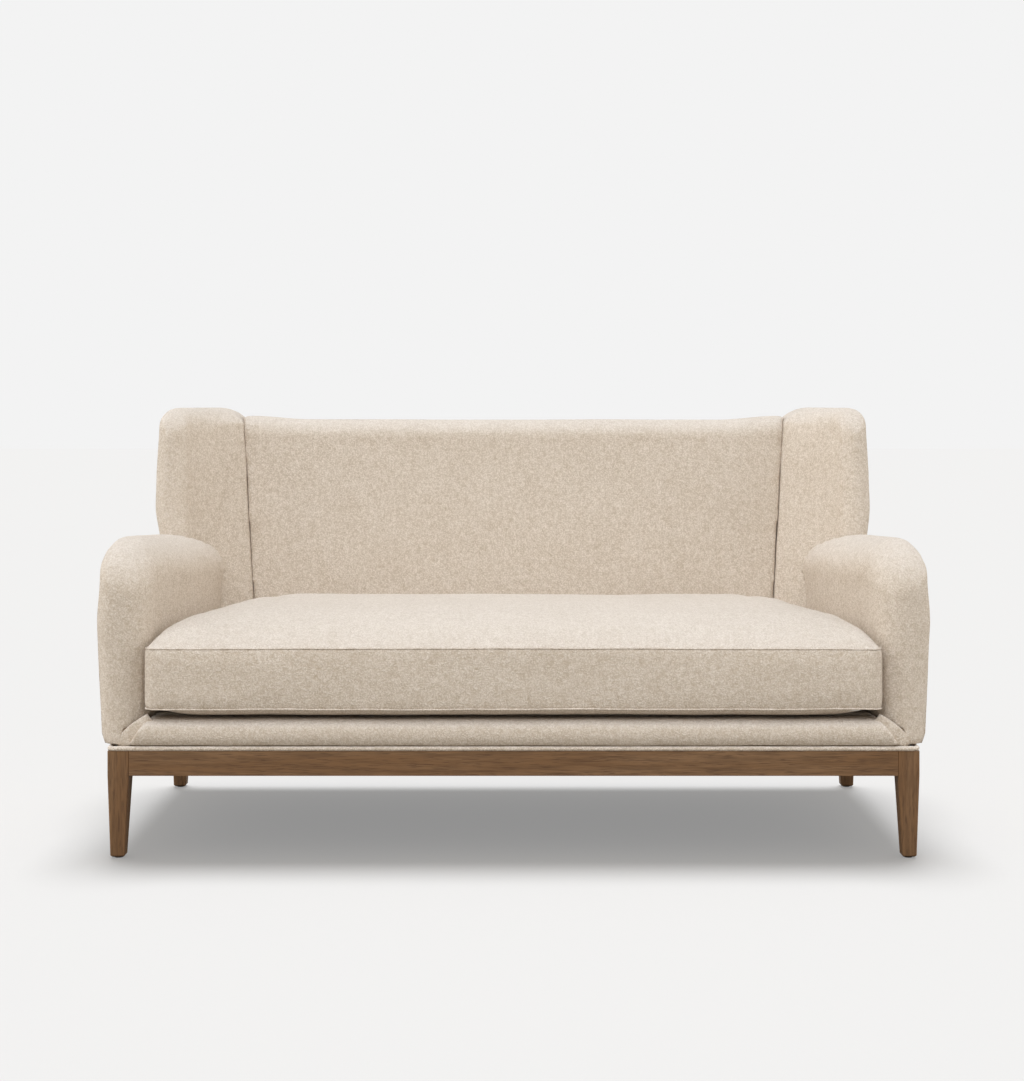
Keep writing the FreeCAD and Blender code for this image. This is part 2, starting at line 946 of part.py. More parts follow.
def inside_back_form():
    """Inside back, rolled over the top rail; its ends are cut by the wings."""
    half = wing_seam_half_width + 90.0
    shoulder = back_height - back_roll_drop
    face = inside_back_face(shoulder)
    rear = base_depth + (back_panel_top - apron_top) * lean_out
    crest_depth = (face + rear) / 2 + 4.0
    return side_prism(
        -half,
        half,
        (inside_back_depth, deck_bottom),
        [(inside_back_depth, back_knee_height)],
        [(face, shoulder)],
        [(face + 16.0, back_height - 18.0), (crest_depth - 18.0, back_height - 1.0)],
        [(crest_depth + 26.0, back_height - 5.0), (rear, back_panel_top)],
        [(rear, deck_bottom)],
    )


def leaned(depth, z):
    """A depth and level in the wing, leaned back with the inside back."""
    return depth + (z - wing_shear_level) * lean_in, z


def wing_section(depth):
    """Upright section across the right wing, before it is leaned back with the inside back."""
    behind = depth - wing_front_depth
    outer = wing_outer_rear - (base_depth - depth) * wing_outer_taper - nose(behind, wing_outer_nose)
    roll_inner = wing_outer_rear - (base_depth - wing_front_depth) * wing_outer_taper - wing_roll_width
    seam_run = inside_back_depth + 12.0 - (wing_front_depth + wing_inner_nose)
    share = min(max((behind - wing_inner_nose) / seam_run, 0.0), 1.0)
    seam = wing_seam_half_width
    ease = share * (0.72 + 0.28 * share)
    inner = roll_inner + (seam - roll_inner) * ease + nose(behind, wing_inner_nose)
    lean = wing_seam_lean * (0.35 + 0.65 * share) * (wing_height - deck_bottom)
    bend = wing_top_bend
    rise = bend - nose(behind, bend)
    crest = wing_height - bend + rise - wing_crest_dip * share
    width = outer - inner - lean
    shoulder = min(width * 0.36, 44.0)
    run = min(width * 0.6, wing_front_shoulder + (wing_seam_shoulder - wing_front_shoulder) * share)
    drop = wing_front_shoulder_drop + (wing_seam_shoulder_drop - wing_front_shoulder_drop) * share
    drop = min(width * 0.5, drop)
    bow = 1 - math.sqrt(0.5)
    tip = inner + lean

    def p(x, z):
        return at(x, *leaned(depth, z))

    return outline(
        p(inner, deck_bottom - 60.0),
        [p(outer, deck_bottom - 60.0)],
        [p(outer, crest - shoulder)],
        [p(outer - shoulder * bow, crest - shoulder * bow), p(outer - shoulder, crest)],
        [p(tip + run, crest)],
        [p(tip + run * bow, crest - drop * bow), p(tip, crest - drop)],
    )


def wing_form():
    """Whole outer form of the right wing, leaned back and cut to the rear plane."""
    start = wing_front_depth
    front = [start + d for d in (2.0, 8.0, 20.0, wing_outer_nose, wing_inner_nose, 62.0, wing_top_bend)]
    seam = inside_back_depth + 12.0
    rear = [(start + wing_top_bend + seam) / 2, seam, base_depth + 60.0]
    return Part.makeLoft([wing_section(d) for d in front + rear], True, True).cut(behind(base_depth))


def wing_hollow(wall, outer):
    """The hollow inside the right wing, open to the outside, seen from the side."""
    low = upholstery_bottom - 20.0
    high = wing_height - wall
    bend = wing_top_bend - wall
    turn = high - bend
    bow = math.sqrt(0.5)
    tail = 2 * base_depth

    start = wing_front_depth + wall
    return side_prism(
        side_frame_inner - frame_gap,
        outer,
        leaned(start, low),
        [leaned(start, turn)],
        [leaned(start + bend - bend * bow, turn + bend * bow), leaned(start + bend, high)],
        [leaned(tail, high)],
        [leaned(tail, low)],
    )


def outside_wing_panel():
    """Right outside wing: a thin board and cover, flush in the wing's open side above the arm."""
    wires = []
    for depth in (wing_front_depth, base_depth + 60.0):
        x = wing_outer_rear - (base_depth - depth) * wing_outer_taper - side_panel_gap
        low, high = arm_bend_start, wing_height
        corners = [(x - side_panel_thickness, low), (x, low), (x, high), (x - side_panel_thickness, high)]
        points = [at(u, *leaned(depth, z)) for u, z in corners]
        wires.append(Part.makePolygon(points + points[:1]))
    slab = Part.makeLoft(wires, True, True)
    panel = slab.common(wing_hollow(wing_wall + frame_gap, far))
    return cut(panel, behind(base_depth), back_panel_space(), under_line(wing_foot_level))


def wing_foot_level(depth):
    """Level where the outside wing's lower edge is tucked down beside the arm's top."""
    return arm_crest_line(depth) - wing_foot_tuck


# Border, cushion and trims


def front_border():
    """Padded front border, wrapped over the front rail, its ends mitred into the arms."""
    low = upholstery_bottom
    inner = front_rail_depth - frame_gap
    over = seat_rail_top + strap_thickness + frame_gap
    profile = side_prism(
        -border_foot_half_width,
        border_foot_half_width,
        (inner, low),
        [(0.0, low)],
        [(-border_bulge, (low + border_top) / 2 - 2.0), (2.0, border_top - 8.0)],
        [(8.0, border_top - 2.5), (22.0, border_top)],
        [(border_depth, border_top)],
        [(border_depth, over)],
        [(inner, over)],
    )
    return profile.common(border_ends(0.0))


def border_ends(gap):
    """Upright prism between the border's mitred ends, wider than them by a gap."""
    low, high = upholstery_bottom, border_top + border_bulge
    slope = (border_foot_half_width - border_top_half_width) / (border_top - low)
    foot = border_foot_half_width + gap
    head = foot - slope * (high - low)
    points = [(-foot, low - 40.0), (foot, low - 40.0), (foot, low), (head, high), (-head, high), (-foot, low)]
    placed = [at(x, -border_depth, z) for x, z in points]
    return prism(Part.makePolygon(placed + placed[:1]), Vector(0, 2 * border_depth + gap, 0))


def cushion_plan(inset, run_front, run_side, run_rear, z, soft=True):
    """Level section of the cushion, set in from its rim by an inset and by a run at each edge."""
    front = -cushion_front_overhang + cushion_boxing_bulge + inset
    rear = cushion_rear_depth - cushion_boxing_bulge - inset
    half_front = cushion_front_half_width - inset * (1 + arm_flare)
    side_at_clip = half_front - arm_flare * (cushion_corner_start - front)
    rear_half = cushion_corner_half_width - inset * 0.7
    points = [
        (half_front - run_side, front + run_front),
        (side_at_clip - run_side, cushion_corner_start - run_rear * 0.6),
        (rear_half - run_side, rear - run_rear),
    ]
    radii = [cushion_front_corner + run_side * 0.3, cushion_rear_corner, cushion_rear_corner * 0.6]
    points += [(-x, depth) for x, depth in reversed(points)]
    radii += list(reversed(radii))
    wire = rounded(points, radii, lambda x, depth: at(x, depth, z))
    if soft:
        return wire
    corners = [edge.Vertexes[0].Point for edge in wire.Edges]
    return Part.makePolygon(corners + corners[:1])


def cushion_levels(shares):
    """Inset, runs and level of each section from the underside to the crown, for shares of the crown's run."""
    low, high = cushion_lower_seam, cushion_upper_seam
    seam = cushion_seam_set_in

    def full(share):
        return (1 - (1 - share) ** 2) ** crown_fullness

    runs = [crown_run_front, crown_run_side, crown_run_rear]
    rise = cushion_crown - high
    drop = low - cushion_bottom
    crown = [(seam, *[run * s for run in runs], high + rise * full(s)) for s in shares]
    under = [(seam, *[underside_run * s] * 3, low - drop * full(s)) for s in reversed(shares)]
    return under, crown


def cushion_form(shrink, shares, bulge):
    """The cushion's crowned form, smaller all round by shrink; with no bulge its corners are straight cuts."""
    middle = (cushion_lower_seam + cushion_upper_seam) / 2
    squeeze = 1 - 2 * shrink / (cushion_crown - cushion_bottom)
    under, crown = cushion_levels(shares)
    boxing = [(-bulge, 0, 0, 0, middle)] if bulge else []
    wires = []
    for inset, run_front, run_side, run_rear, z in under + boxing + crown:
        level = middle + (z - middle) * squeeze
        wires.append(cushion_plan(inset + shrink, run_front, run_side, run_rear, level, bulge > 0))
    return Part.makeLoft(wires, True, True)


def foam_slab(grow):
    """Flat-sided foam inside the cushion, made larger all round by grow."""
    inset = cover_thickness + lining_gap + wrap_thickness - grow
    low = cushion_lower_seam + foam_set_in - grow
    high = cushion_upper_seam + foam_crown - foam_set_in + grow
    return prism(cushion_plan(inset, 0, 0, 0, low, False), Vector(0, 0, high - low))


def seat_well():
    """The room that the cushion drops into, cut out of the arms, wings and back."""
    wide = cushion_plan(-cushion_boxing_bulge - well_gap, 0, 0, 0, deck_top)
    return prism(wide, Vector(0, 0, cushion_upper_seam + 60.0 - deck_top))


def base_welt():
    """Fabric-covered cord round the foot of the upholstery, mitred at the corners."""
    out = welt_proud - welt_radius
    z = apron_top + welt_radius
    x = half_base + out
    corners = [at(-x, -out, z), at(x, -out, z), at(x, base_depth + out, z), at(-x, base_depth + out, z)]
    ring = []
    for i in range(round_sides):
        angle = 2 * math.pi * i / round_sides
        ring.append(at(0, -out + welt_radius * math.cos(angle), z + welt_radius * math.sin(angle)))
    middle = at(0, -out, z)
    loop = Part.makePolygon([middle] + corners[1:] + corners[:1] + [middle])
    return loop.makePipeShell([Part.makePolygon(ring + ring[:1])], True, False, 1)


def dust_cover():
    """Thin cloth stretched under the body, inside the base."""
    half = half_base - apron_thickness - dust_cover_gap
    d0 = apron_thickness + dust_cover_gap
    d1 = base_depth - d0
    clip = brace_offset()[1] - 1.0
    points = [
        (-half + clip, d0),
        (half - clip, d0),
        (half, d0 + clip),
        (half, d1 - clip),
        (half - clip, d1),
        (-half + clip, d1),
        (-half, d1 - clip),
        (-half, d0 + clip),
    ]
    placed = [at(x, d, apron_top - dust_cover_thickness) for x, d in points]
    return prism(Part.makePolygon(placed + placed[:1]), Vector(0, 0, dust_cover_thickness))


def zip_chain():
    """Closed teeth of the zip, along the rear boxing of the cushion."""
    face = cushion_rear_depth + zip_cover_gap
    reach = zip_half_length
    half = zip_chain_height / 2
    return block(-reach, reach, face, face + zip_chain_depth, zip_level - half, zip_level + half)


def zip_slider():
    """Slider that runs on the zip's teeth, at the end where the zip is closed."""
    face = cushion_rear_depth + zip_cover_gap
    x1 = zip_half_length - zip_end_gap
    x0 = x1 - slider_length
    inner = zip_chain_height / 2 + zip_gap
    outer = inner + slider_wall
    roof = face + zip_chain_depth + zip_gap
    outside = block(x0, x1, face + zip_gap, roof + slider_wall, zip_level - outer, zip_level + outer)
    channel = block(x0 - 1, x1 + 1, face - 1, roof, zip_level - inner, zip_level + inner)
    return outside.cut(channel)


def build():
    """Every piece of the settee, by its name."""
    pieces = {}

    def pair(name, right):
        pieces[name + "_right"] = right
        pieces[name + "_left"] = mirrored(right)

    # Base
    right_leg = leg()
    pair("leg_front", right_leg)
    pair("leg_rear", to_rear(right_leg))
    pieces["apron_front"] = long_apron()
    pieces["apron_rear"] = to_rear(long_apron())
    pair("apron_side", side_apron())
    pieces["base_corner_braces"] = four(brace())
    pieces["base_screws"] = four(base_screw())
    pieces["leg_glides"] = four(glide())

    # Frame
    pieces["seat_rail_front"] = seat_rail(side_frame_outer, front_rail_depth)
    pieces["seat_rail_rear"] = seat_rail(side_frame_inner, rear_rail_front)
    pair("seat_rail_side", seat_rail_side())
    pieces["seat_stretcher"] = seat_stretcher()
    pieces["frame_corner_blocks"] = four(corner_block())
    pair("arm_post", arm_post())
    pair("arm_rail", arm_rail())
    pair("back_post", back_post())
    pieces["back_top_rail"] = back_rail(top_rail_top - top_rail_height, top_rail_top)
    pieces["back_lower_rail"] = back_rail(lower_rail_bottom, lower_rail_bottom + lower_rail_height)
    pieces["back_upright"] = back_upright()
    pair("wing_board", wing_board())

    # Suspension
    pieces["seat_webbing_long"] = long_straps()
    pieces["seat_webbing_cross"] = cross_straps()
    pieces["back_webbing"] = back_straps()
    pieces["seat_deck"] = seat_deck()
    pieces["dust_cover"] = dust_cover()

    # Upholstery
    wing = wing_form()
    wings = both(wing)
    well = seat_well()
    panel_space = back_panel_space()
    frame_space = back_frame_space()
    deck = seat_deck()
    tail = base_depth + 20.0
    inner = side_frame_inner
    rail_reach = side_frame_outer + frame_gap
    rail_head = seat_rail_top + strap_thickness + frame_gap
    front_rail_space = block(
        -rail_reach, rail_reach, front_rail_depth - frame_gap, front_rail_back + frame_gap, 0, rail_head
    )
    under_deck = block(-inner, inner, front_rail_back, tail, 0, deck_bottom)
    arm_inside = block(inner - frame_gap, far, front_rail_back, tail, 0, arm_bend_start)
    pieces["outside_back"] = back_panel()
    pieces["inside_back"] = cut(
        inside_back_form(), *wings, panel_space, frame_space, well, deck, behind(base_depth)
    )
    pair(
        "wing_pad",
        cut(
            wing,
            panel_space,
            frame_space,
            well,
            deck,
            wing_hollow(wing_wall, far),
            side_hollow(arm_wall, far),
            under_deck,
            arm_inside,
        ),
    )
    pair(
        "arm_pad",
        cut(
            arm_form(),
            wing,
            panel_space,
            frame_space,
            well,
            deck,
            side_hollow(arm_wall, far),
            under_deck,
            front_rail_space,
            border_ends(frame_gap),
            behind(base_depth),
        ),
    )
    pair("outside_arm", outside_arm_panel())
    pair("outside_wing", outside_wing_panel())
    pieces["front_border"] = front_border()
    pieces["base_welt"] = base_welt()

    # Loose seat cushion
    outer = cushion_form(0.0, [0.0, 0.07, 0.24, 0.55, 1.0], cushion_boxing_bulge)
    coarse = [0.0, 0.2, 1.0]
    pieces["cushion_cover"] = outer.cut(cushion_form(cover_thickness, coarse, 0.0))
    filling = cushion_form(cover_thickness + lining_gap, coarse, 0.0)
    pieces["cushion_wrap"] = filling.cut(foam_slab(lining_gap))
    pieces["cushion_core"] = foam_slab(0.0)
    pieces["cushion_zip"] = zip_chain()
    pieces["zip_slider"] = zip_slider()
    return pieces


def main():
    """Writes one STEP file for each piece."""
    os.makedirs("parts", exist_ok=True)
    for name, shape in build().items():
        shape.exportStep(f"parts/{name}.step")
        box = shape.optimalBoundingBox()
        sizes = " x ".join(f"{length:.0f}" for length in (box.XLength, box.YLength, box.ZLength))
        litres = shape.Volume / 1e6
        print(f"{name:22s} {len(shape.Solids)} solids  {litres:9.3f} l  {sizes}  valid {shape.isValid()}")


main()
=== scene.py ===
import math
import random

import bmesh
import bpy
import numpy as np
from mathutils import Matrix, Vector, noise
from mathutils.bvhtree import BVHTree


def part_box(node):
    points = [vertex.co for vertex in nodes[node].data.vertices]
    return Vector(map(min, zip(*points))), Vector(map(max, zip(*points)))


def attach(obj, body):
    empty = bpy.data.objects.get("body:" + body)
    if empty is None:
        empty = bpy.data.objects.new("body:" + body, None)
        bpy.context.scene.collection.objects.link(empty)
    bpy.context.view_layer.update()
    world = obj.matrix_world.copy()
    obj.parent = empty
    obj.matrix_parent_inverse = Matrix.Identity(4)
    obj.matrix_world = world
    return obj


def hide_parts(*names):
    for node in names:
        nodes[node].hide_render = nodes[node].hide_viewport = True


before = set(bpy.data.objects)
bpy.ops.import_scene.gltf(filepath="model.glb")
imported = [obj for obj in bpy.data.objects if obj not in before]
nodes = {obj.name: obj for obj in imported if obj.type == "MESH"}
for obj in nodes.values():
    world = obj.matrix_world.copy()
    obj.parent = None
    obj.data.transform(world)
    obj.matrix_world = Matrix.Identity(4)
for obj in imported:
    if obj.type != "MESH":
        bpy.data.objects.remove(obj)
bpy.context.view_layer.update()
scene = bpy.context.scene
print("frame loaded:", len(nodes), "nodes")


# shader helpers

def feed(tree, node, values):
    # each socket takes either a link or a plain value
    for key, value in values.items():
        if isinstance(value, bpy.types.NodeSocket):
            tree.links.new(value, node.inputs[key])
        else:
            node.inputs[key].default_value = value


def addNode(tree, kind, settings=None, inputs=None):
    node = tree.nodes.new(kind)
    for key, value in (settings or {}).items():
        setattr(node, key, value)
    feed(tree, node, inputs or {})
    return node


def calc(tree, operation, a, b=0.0, c=0.0, clamp=False):
    settings = {"operation": operation, "use_clamp": clamp}
    return addNode(tree, "ShaderNodeMath", settings, {0: a, 1: b, 2: c}).outputs[0]


def vecCalc(tree, operation, a, b=(0, 0, 0), scale=None):
    node = addNode(tree, "ShaderNodeVectorMath", {"operation": operation}, {0: a, 1: b})
    if scale is not None:
        feed(tree, node, {"Scale": scale})
    return node.outputs[0]


def blendColour(tree, factor, a, b):
    return addNode(tree, "ShaderNodeMix", {"data_type": "RGBA"}, {0: factor, 6: a, 7: b}).outputs[2]


def noiseAt(tree, place, scale, detail, roughness=0.5):
    values = {"Vector": place, "Scale": scale, "Detail": detail, "Roughness": roughness}
    return addNode(tree, "ShaderNodeTexNoise", None, values).outputs


def centred(tree, value, share):
    # a noise value about zero, times its share
    return calc(tree, "MULTIPLY", calc(tree, "SUBTRACT", value, 0.5), share)


def pulledAbout(tree, place, scale, reach):
    # the place, shifted by noise
    pull = vecCalc(tree, "SUBTRACT", noiseAt(tree, place, scale, 2.0)["Color"], (0.5, 0.5, 0.5))
    return vecCalc(tree, "ADD", place, vecCalc(tree, "SCALE", pull, scale=reach))


def ramped(tree, value, low, high):
    return addNode(tree, "ShaderNodeMapRange", {"interpolation_type": "SMOOTHSTEP"},
                   {0: value, 1: low, 2: high}).outputs[0]


def newGroup(name, inputs, outputs):
    # a value in three parts makes a vector socket, one in four parts a colour socket
    group = bpy.data.node_groups.new(name, "ShaderNodeTree")
    for label, value in inputs.items():
        kind = "Float" if isinstance(value, float) else {3: "Vector", 4: "Color"}[len(value)]
        socket = group.interface.new_socket(label, in_out="INPUT", socket_type="NodeSocket" + kind)
        socket.default_value = value
    for label in outputs:
        kind = "Color" if label == "Color" else "Float"
        group.interface.new_socket(label, in_out="OUTPUT", socket_type="NodeSocket" + kind)
    return group, group.nodes.new("NodeGroupInput").outputs, group.nodes.new("NodeGroupOutput")


def newMaterial(name):
    material = bpy.data.materials.new(name)
    material.use_nodes = True
    tree = material.node_tree
    return material, tree, tree.nodes["Principled BSDF"]


def useGroup(tree, group, values):
    return addNode(tree, "ShaderNodeGroup", {"node_tree": group}, values).outputs


def linear(red, green, blue):
    # a colour as it is read on screen, turned into light values
    def channel(value):
        value /= 255
        return value / 12.92 if value <= 0.04045 else ((value + 0.055) / 1.055) ** 2.4
    return (channel(red), channel(green), channel(blue), 1.0)


def bumped(tree, shader, height, distance):
    bump = addNode(tree, "ShaderNodeBump", None, {"Strength": 1.0, "Distance": distance, "Height": height})
    feed(tree, shader, {"Normal": bump.outputs["Normal"]})


# shared effects

def makeLoopedClothGroup():
    # looped yarn: round curls of two sizes, pulled about so that no rows show, over faint warp streaks
    group, start, end = newGroup("loopedCloth", {
        "Loop Size": 0.004,
        "Streak": 0.3,
        "Contrast": 0.6,
        "Fade": 0.4,
        "Painted Top Light Yarn": (0.85, 0.83, 0.8, 1),
        "Light Yarn": (0.8, 0.7, 0.6, 1),
        "Deep Yarn": (0.5, 0.4, 0.3, 1),
    }, ("Color", "Height"))
    place = addNode(group, "ShaderNodeTexCoord").outputs["Object"]
    size = start["Loop Size"]
    per = calc(group, "DIVIDE", 1.0, size)
    moved = pulledAbout(group, place, 150.0, calc(group, "MULTIPLY", size, 2.4))
    big = addNode(group, "ShaderNodeTexVoronoi", {"feature": "SMOOTH_F1"},
                  {"Vector": moved, "Scale": per, "Smoothness": 0.35, "Randomness": 1.0})
    small = addNode(group, "ShaderNodeTexVoronoi", None,
                    {"Vector": moved, "Scale": calc(group, "MULTIPLY", per, 2.1), "Randomness": 1.0})
    clumps = noiseAt(group, place, calc(group, "MULTIPLY", per, 0.32), 3.0)[0]
    fibre = noiseAt(group, moved, calc(group, "MULTIPLY", per, 4.5), 3.0)[0]
    curl = ramped(group, big.outputs["Distance"], 0.72, 0.12)
    bead = ramped(group, small.outputs["Distance"], 0.75, 0.1)
    height = calc(group, "MULTIPLY_ADD", curl, 0.55, calc(group, "MULTIPLY", bead, 0.3))
    height = calc(group, "MULTIPLY_ADD", fibre, 0.22, height)
    height = calc(group, "MULTIPLY_ADD", calc(group, "SUBTRACT", clumps, 0.5), 0.7, height)
    warp = vecCalc(group, "MULTIPLY", place, (1.0, 0.07, 0.07))
    streak = centred(group, noiseAt(group, warp, 230.0, 2.0)[0], start["Streak"])
    wide = centred(group, noiseAt(group, place, 9.0, 2.0)[0], 0.16)
    tone = calc(group, "SUBTRACT", height, 0.5)
    tone = calc(group, "MULTIPLY_ADD", tone, start["Contrast"], 0.62)
    tone = calc(group, "ADD", calc(group, "ADD", tone, streak), wide, clamp=True)
    colour = blendColour(group, tone, start["Deep Yarn"], start["Light Yarn"])
    # painted top light: what faces up is mixed toward a paler, cooler yarn, standing in for the light from
    # above
    facing = addNode(group, "ShaderNodeNewGeometry").outputs["Normal"]
    facing = addNode(group, "ShaderNodeSeparateXYZ", None, {"Vector": facing}).outputs["Z"]
    paintedTopLight = calc(group, "MULTIPLY", ramped(group, facing, 0.1, 0.95), start["Fade"])
    colour = blendColour(group, paintedTopLight, colour, start["Painted Top Light Yarn"])
    feed(group, end, {"Color": colour, "Height": height})
    return group


def makeWoodGrainGroup():
    # grain along the long direction: growth bands, fine pores and a few small knots
    group, start, end = newGroup("woodGrain", {
        "Squeeze": (1.0, 1.0, 1.0),
        "Base": (0.2, 0.1, 0.05, 1),
        "Dark": (0.1, 0.05, 0.02, 1),
        "Light": (0.3, 0.2, 0.1, 1),
        "Pores": 0.5,
        "Knots": 0.4,
    }, ("Color", "Height", "Roughness"))
    place = addNode(group, "ShaderNodeTexCoord").outputs["Object"]
    along = vecCalc(group, "MULTIPLY", place, start["Squeeze"])
    grainPlace = pulledAbout(group, along, 7.0, 0.05)
    knotPlace = vecCalc(group, "MULTIPLY", place, (1.0, 1.0, 1.6))
    knot = addNode(group, "ShaderNodeTexVoronoi", None, {"Vector": knotPlace, "Scale": 4.2, "Randomness": 1.0})
    knotMask = ramped(group, knot.outputs["Distance"], 0.07, 0.01)
    knotMask = calc(group, "MULTIPLY", knotMask, start["Knots"])
    band = ramped(group, noiseAt(group, grainPlace, 42.0, 4.0, roughness=0.62)[0], 0.35, 0.66)
    line = ramped(group, noiseAt(group, grainPlace, 210.0, 3.0, roughness=0.6)[0], 0.36, 0.68)
    poreMask = ramped(group, noiseAt(group, grainPlace, 620.0, 1.0)[0], 0.56, 0.68)
    poreMask = calc(group, "MULTIPLY", poreMask, start["Pores"])
    band = calc(group, "MULTIPLY", band, 0.75)
    colour = blendColour(group, band, start["Base"], start["Light"])
    for mask in (calc(group, "MULTIPLY", line, 0.45), poreMask, knotMask):
        colour = blendColour(group, mask, colour, start["Dark"])
    height = calc(group, "MULTIPLY_ADD", line, -0.5, 1.0)
    height = calc(group, "SUBTRACT", height, calc(group, "MULTIPLY", poreMask, 0.8))
    rough = calc(group, "MULTIPLY_ADD", line, 0.12, 0.56)
    feed(group, end, {"Color": colour, "Height": height, "Roughness": rough})
    return group


def makeWovenGroup():
    # plain weave from two crossed waves, for linings, webbing and dust cloth
    group, start, end = newGroup("plainWeave", {
        "Threads": 900.0,
        "Colour A": (0.5, 0.5, 0.5, 1),
        "Colour B": (0.3, 0.3, 0.3, 1),
    }, ("Color", "Height"))
    place = addNode(group, "ShaderNodeTexCoord").outputs["Object"]
    parts = addNode(group, "ShaderNodeSeparateXYZ", None, {0: place}).outputs
    pace = start["Threads"]
    across = calc(group, "SINE", calc(group, "MULTIPLY", parts[0], pace))
    down = calc(group, "SINE", calc(group, "MULTIPLY", calc(group, "ADD", parts[1], parts[2]), pace))
    height = calc(group, "MULTIPLY_ADD", calc(group, "MULTIPLY", across, down), 0.5, 0.5)
    wide = calc(group, "SUBTRACT", noiseAt(group, place, 40.0, 4.0)[0], 0.5)
    tone = calc(group, "MULTIPLY_ADD", wide, 0.8, height, clamp=True)
    colour = blendColour(group, tone, start["Colour B"], start["Colour A"])
    feed(group, end, {"Color": colour, "Height": height})
    return group


def makeDustGroup():
    # fine wear and dust: two noises that lift colour and roughness in patches
    group, start, end = newGroup("dustAndWear", {
        "Color": (0.5, 0.5, 0.5, 1),
        "Dust": (0.6, 0.58, 0.54, 1),
        "Amount": 0.15,
        "Roughness": 0.4,
    }, ("Color", "Roughness", "Height"))
    place = addNode(group, "ShaderNodeTexCoord").outputs["Object"]
    patch = noiseAt(group, place, 35.0, 5.0)[0]
    speck = noiseAt(group, place, 900.0, 2.0)[0]
    amount = start["Amount"]
    mask = calc(group, "MULTIPLY", ramped(group, patch, 0.42, 0.7), amount)
    mask = calc(group, "MULTIPLY_ADD", speck, calc(group, "MULTIPLY", amount, 0.4), mask)
    colour = blendColour(group, mask, start["Color"], start["Dust"])
    rough = calc(group, "ADD", start["Roughness"], mask)
    feed(group, end, {"Color": colour, "Roughness": rough, "Height": speck})
    return group


loopedCloth = makeLoopedClothGroup()
woodGrain = makeWoodGrainGroup()
plainWeave = makeWovenGroup()
dustAndWear = makeDustGroup()


# materials

cloth = {
    "loopSize": 0.0036,
    "streak": 0.22,
    "contrast": 0.95,
    "lightYarn": linear(233, 221, 207),
    "deepYarn": linear(181, 162, 138),
    # the next two entries are painted top light: how much, and the paler, cooler yarn mixed in where the cloth
    # faces up
    "fade": 0.28,
    "paintedTopLightYarn": linear(226, 222, 219),
    "bump": 0.0011,
}


def makeCloth(name, streak=1.0, lift=1.0):
    material, tree, shader = newMaterial(name)
    # a lift above 1 lightens the yarn, painted light used for the welt rolls
    light = tuple(min(c * lift, 1.0) for c in cloth["lightYarn"][:3]) + (1.0,)
    loops = useGroup(tree, loopedCloth, {
        "Loop Size": cloth["loopSize"],
        "Streak": cloth["streak"] * streak,
        "Contrast": cloth["contrast"],
        # the next two values paint top light onto the cloth that faces up
        "Fade": cloth["fade"],
        "Painted Top Light Yarn": cloth["paintedTopLightYarn"],
        "Light Yarn": light,
        "Deep Yarn": cloth["deepYarn"],
    })
    feed(tree, shader, {
        "Base Color": loops["Color"],
        "Roughness": 0.95,
        "Specular IOR Level": 0.15,
        "Sheen Weight": 0.12,
        "Sheen Roughness": 0.6,
    })
    bumped(tree, shader, loops["Height"], cloth["bump"])
    return material


def makeWood(name, squeeze, timber):
    material, tree, shader = newMaterial(name)
    values = {key.capitalize(): timber[key] for key in ("base", "dark", "light", "pores", "knots")}
    grain = useGroup(tree, woodGrain, {"Squeeze": squeeze, **values})
    looks = {"Base Color": grain["Color"], "Roughness": grain["Roughness"], "Specular IOR Level": 0.3}
    feed(tree, shader, looks)
    bumped(tree, shader, grain["Height"], timber["bump"])
    return material


def makeWoven(name, threads, colourA, colourB, bump, roughness=0.9):
    material, tree, shader = newMaterial(name)
    weave = useGroup(tree, plainWeave, {"Threads": threads, "Colour A": colourA, "Colour B": colourB})
    feed(tree, shader, {"Base Color": weave["Color"], "Roughness": roughness, "Specular IOR Level": 0.2})
    bumped(tree, shader, weave["Height"], bump)
    return material


def makeDusted(name, colour, dust, amount, roughness, metallic, bump):
    material, tree, shader = newMaterial(name)
    values = {"Color": colour, "Dust": dust, "Amount": amount, "Roughness": roughness}
    worn = useGroup(tree, dustAndWear, values)
    feed(tree, shader, {"Base Color": worn["Color"], "Roughness": worn["Roughness"], "Metallic": metallic})
    bumped(tree, shader, worn["Height"], bump)
    return material


oak = {
    "base": linear(121, 88, 57),
    "dark": linear(78, 55, 36),
    "light": linear(134, 103, 73),
    "pores": 0.6,
    "knots": 0.5,
    "bump": 0.0004,
}
pine = {
    "base": linear(196, 164, 120),
    "dark": linear(150, 112, 72),
    "light": linear(214, 186, 146),
    "pores": 0.3,
    "knots": 0.5,
    "bump": 0.0003,
}
birch = {
    "base": linear(205, 176, 132),
    "dark": linear(160, 124, 84),
    "light": linear(220, 196, 156),
    "pores": 0.3,
    "knots": 0.3,
    "bump": 0.0003,
}
# how far the grain is drawn out along each direction
grainAlong = {"x": (0.045, 1.0, 1.0), "y": (1.0, 0.045, 1.0), "z": (1.0, 1.0, 0.045)}

clothMain = makeCloth("loopedClothMain")
# the welt rolls use a lighter copy of the cloth: painted light that offsets the shade along the thin seam and
# base rolls
clothWelt = makeCloth("loopedClothWelt", streak=0.3, lift=1.06)
oakAlong = {way: makeWood("oakAlong" + way.upper(), squeeze, oak) for way, squeeze in grainAlong.items()}
pineAlong = {way: makeWood("frameWood" + way.upper(), squeeze, pine) for way, squeeze in grainAlong.items()}
plywood = makeWood("plywoodBoard", (0.2, 0.2, 1.0), birch)
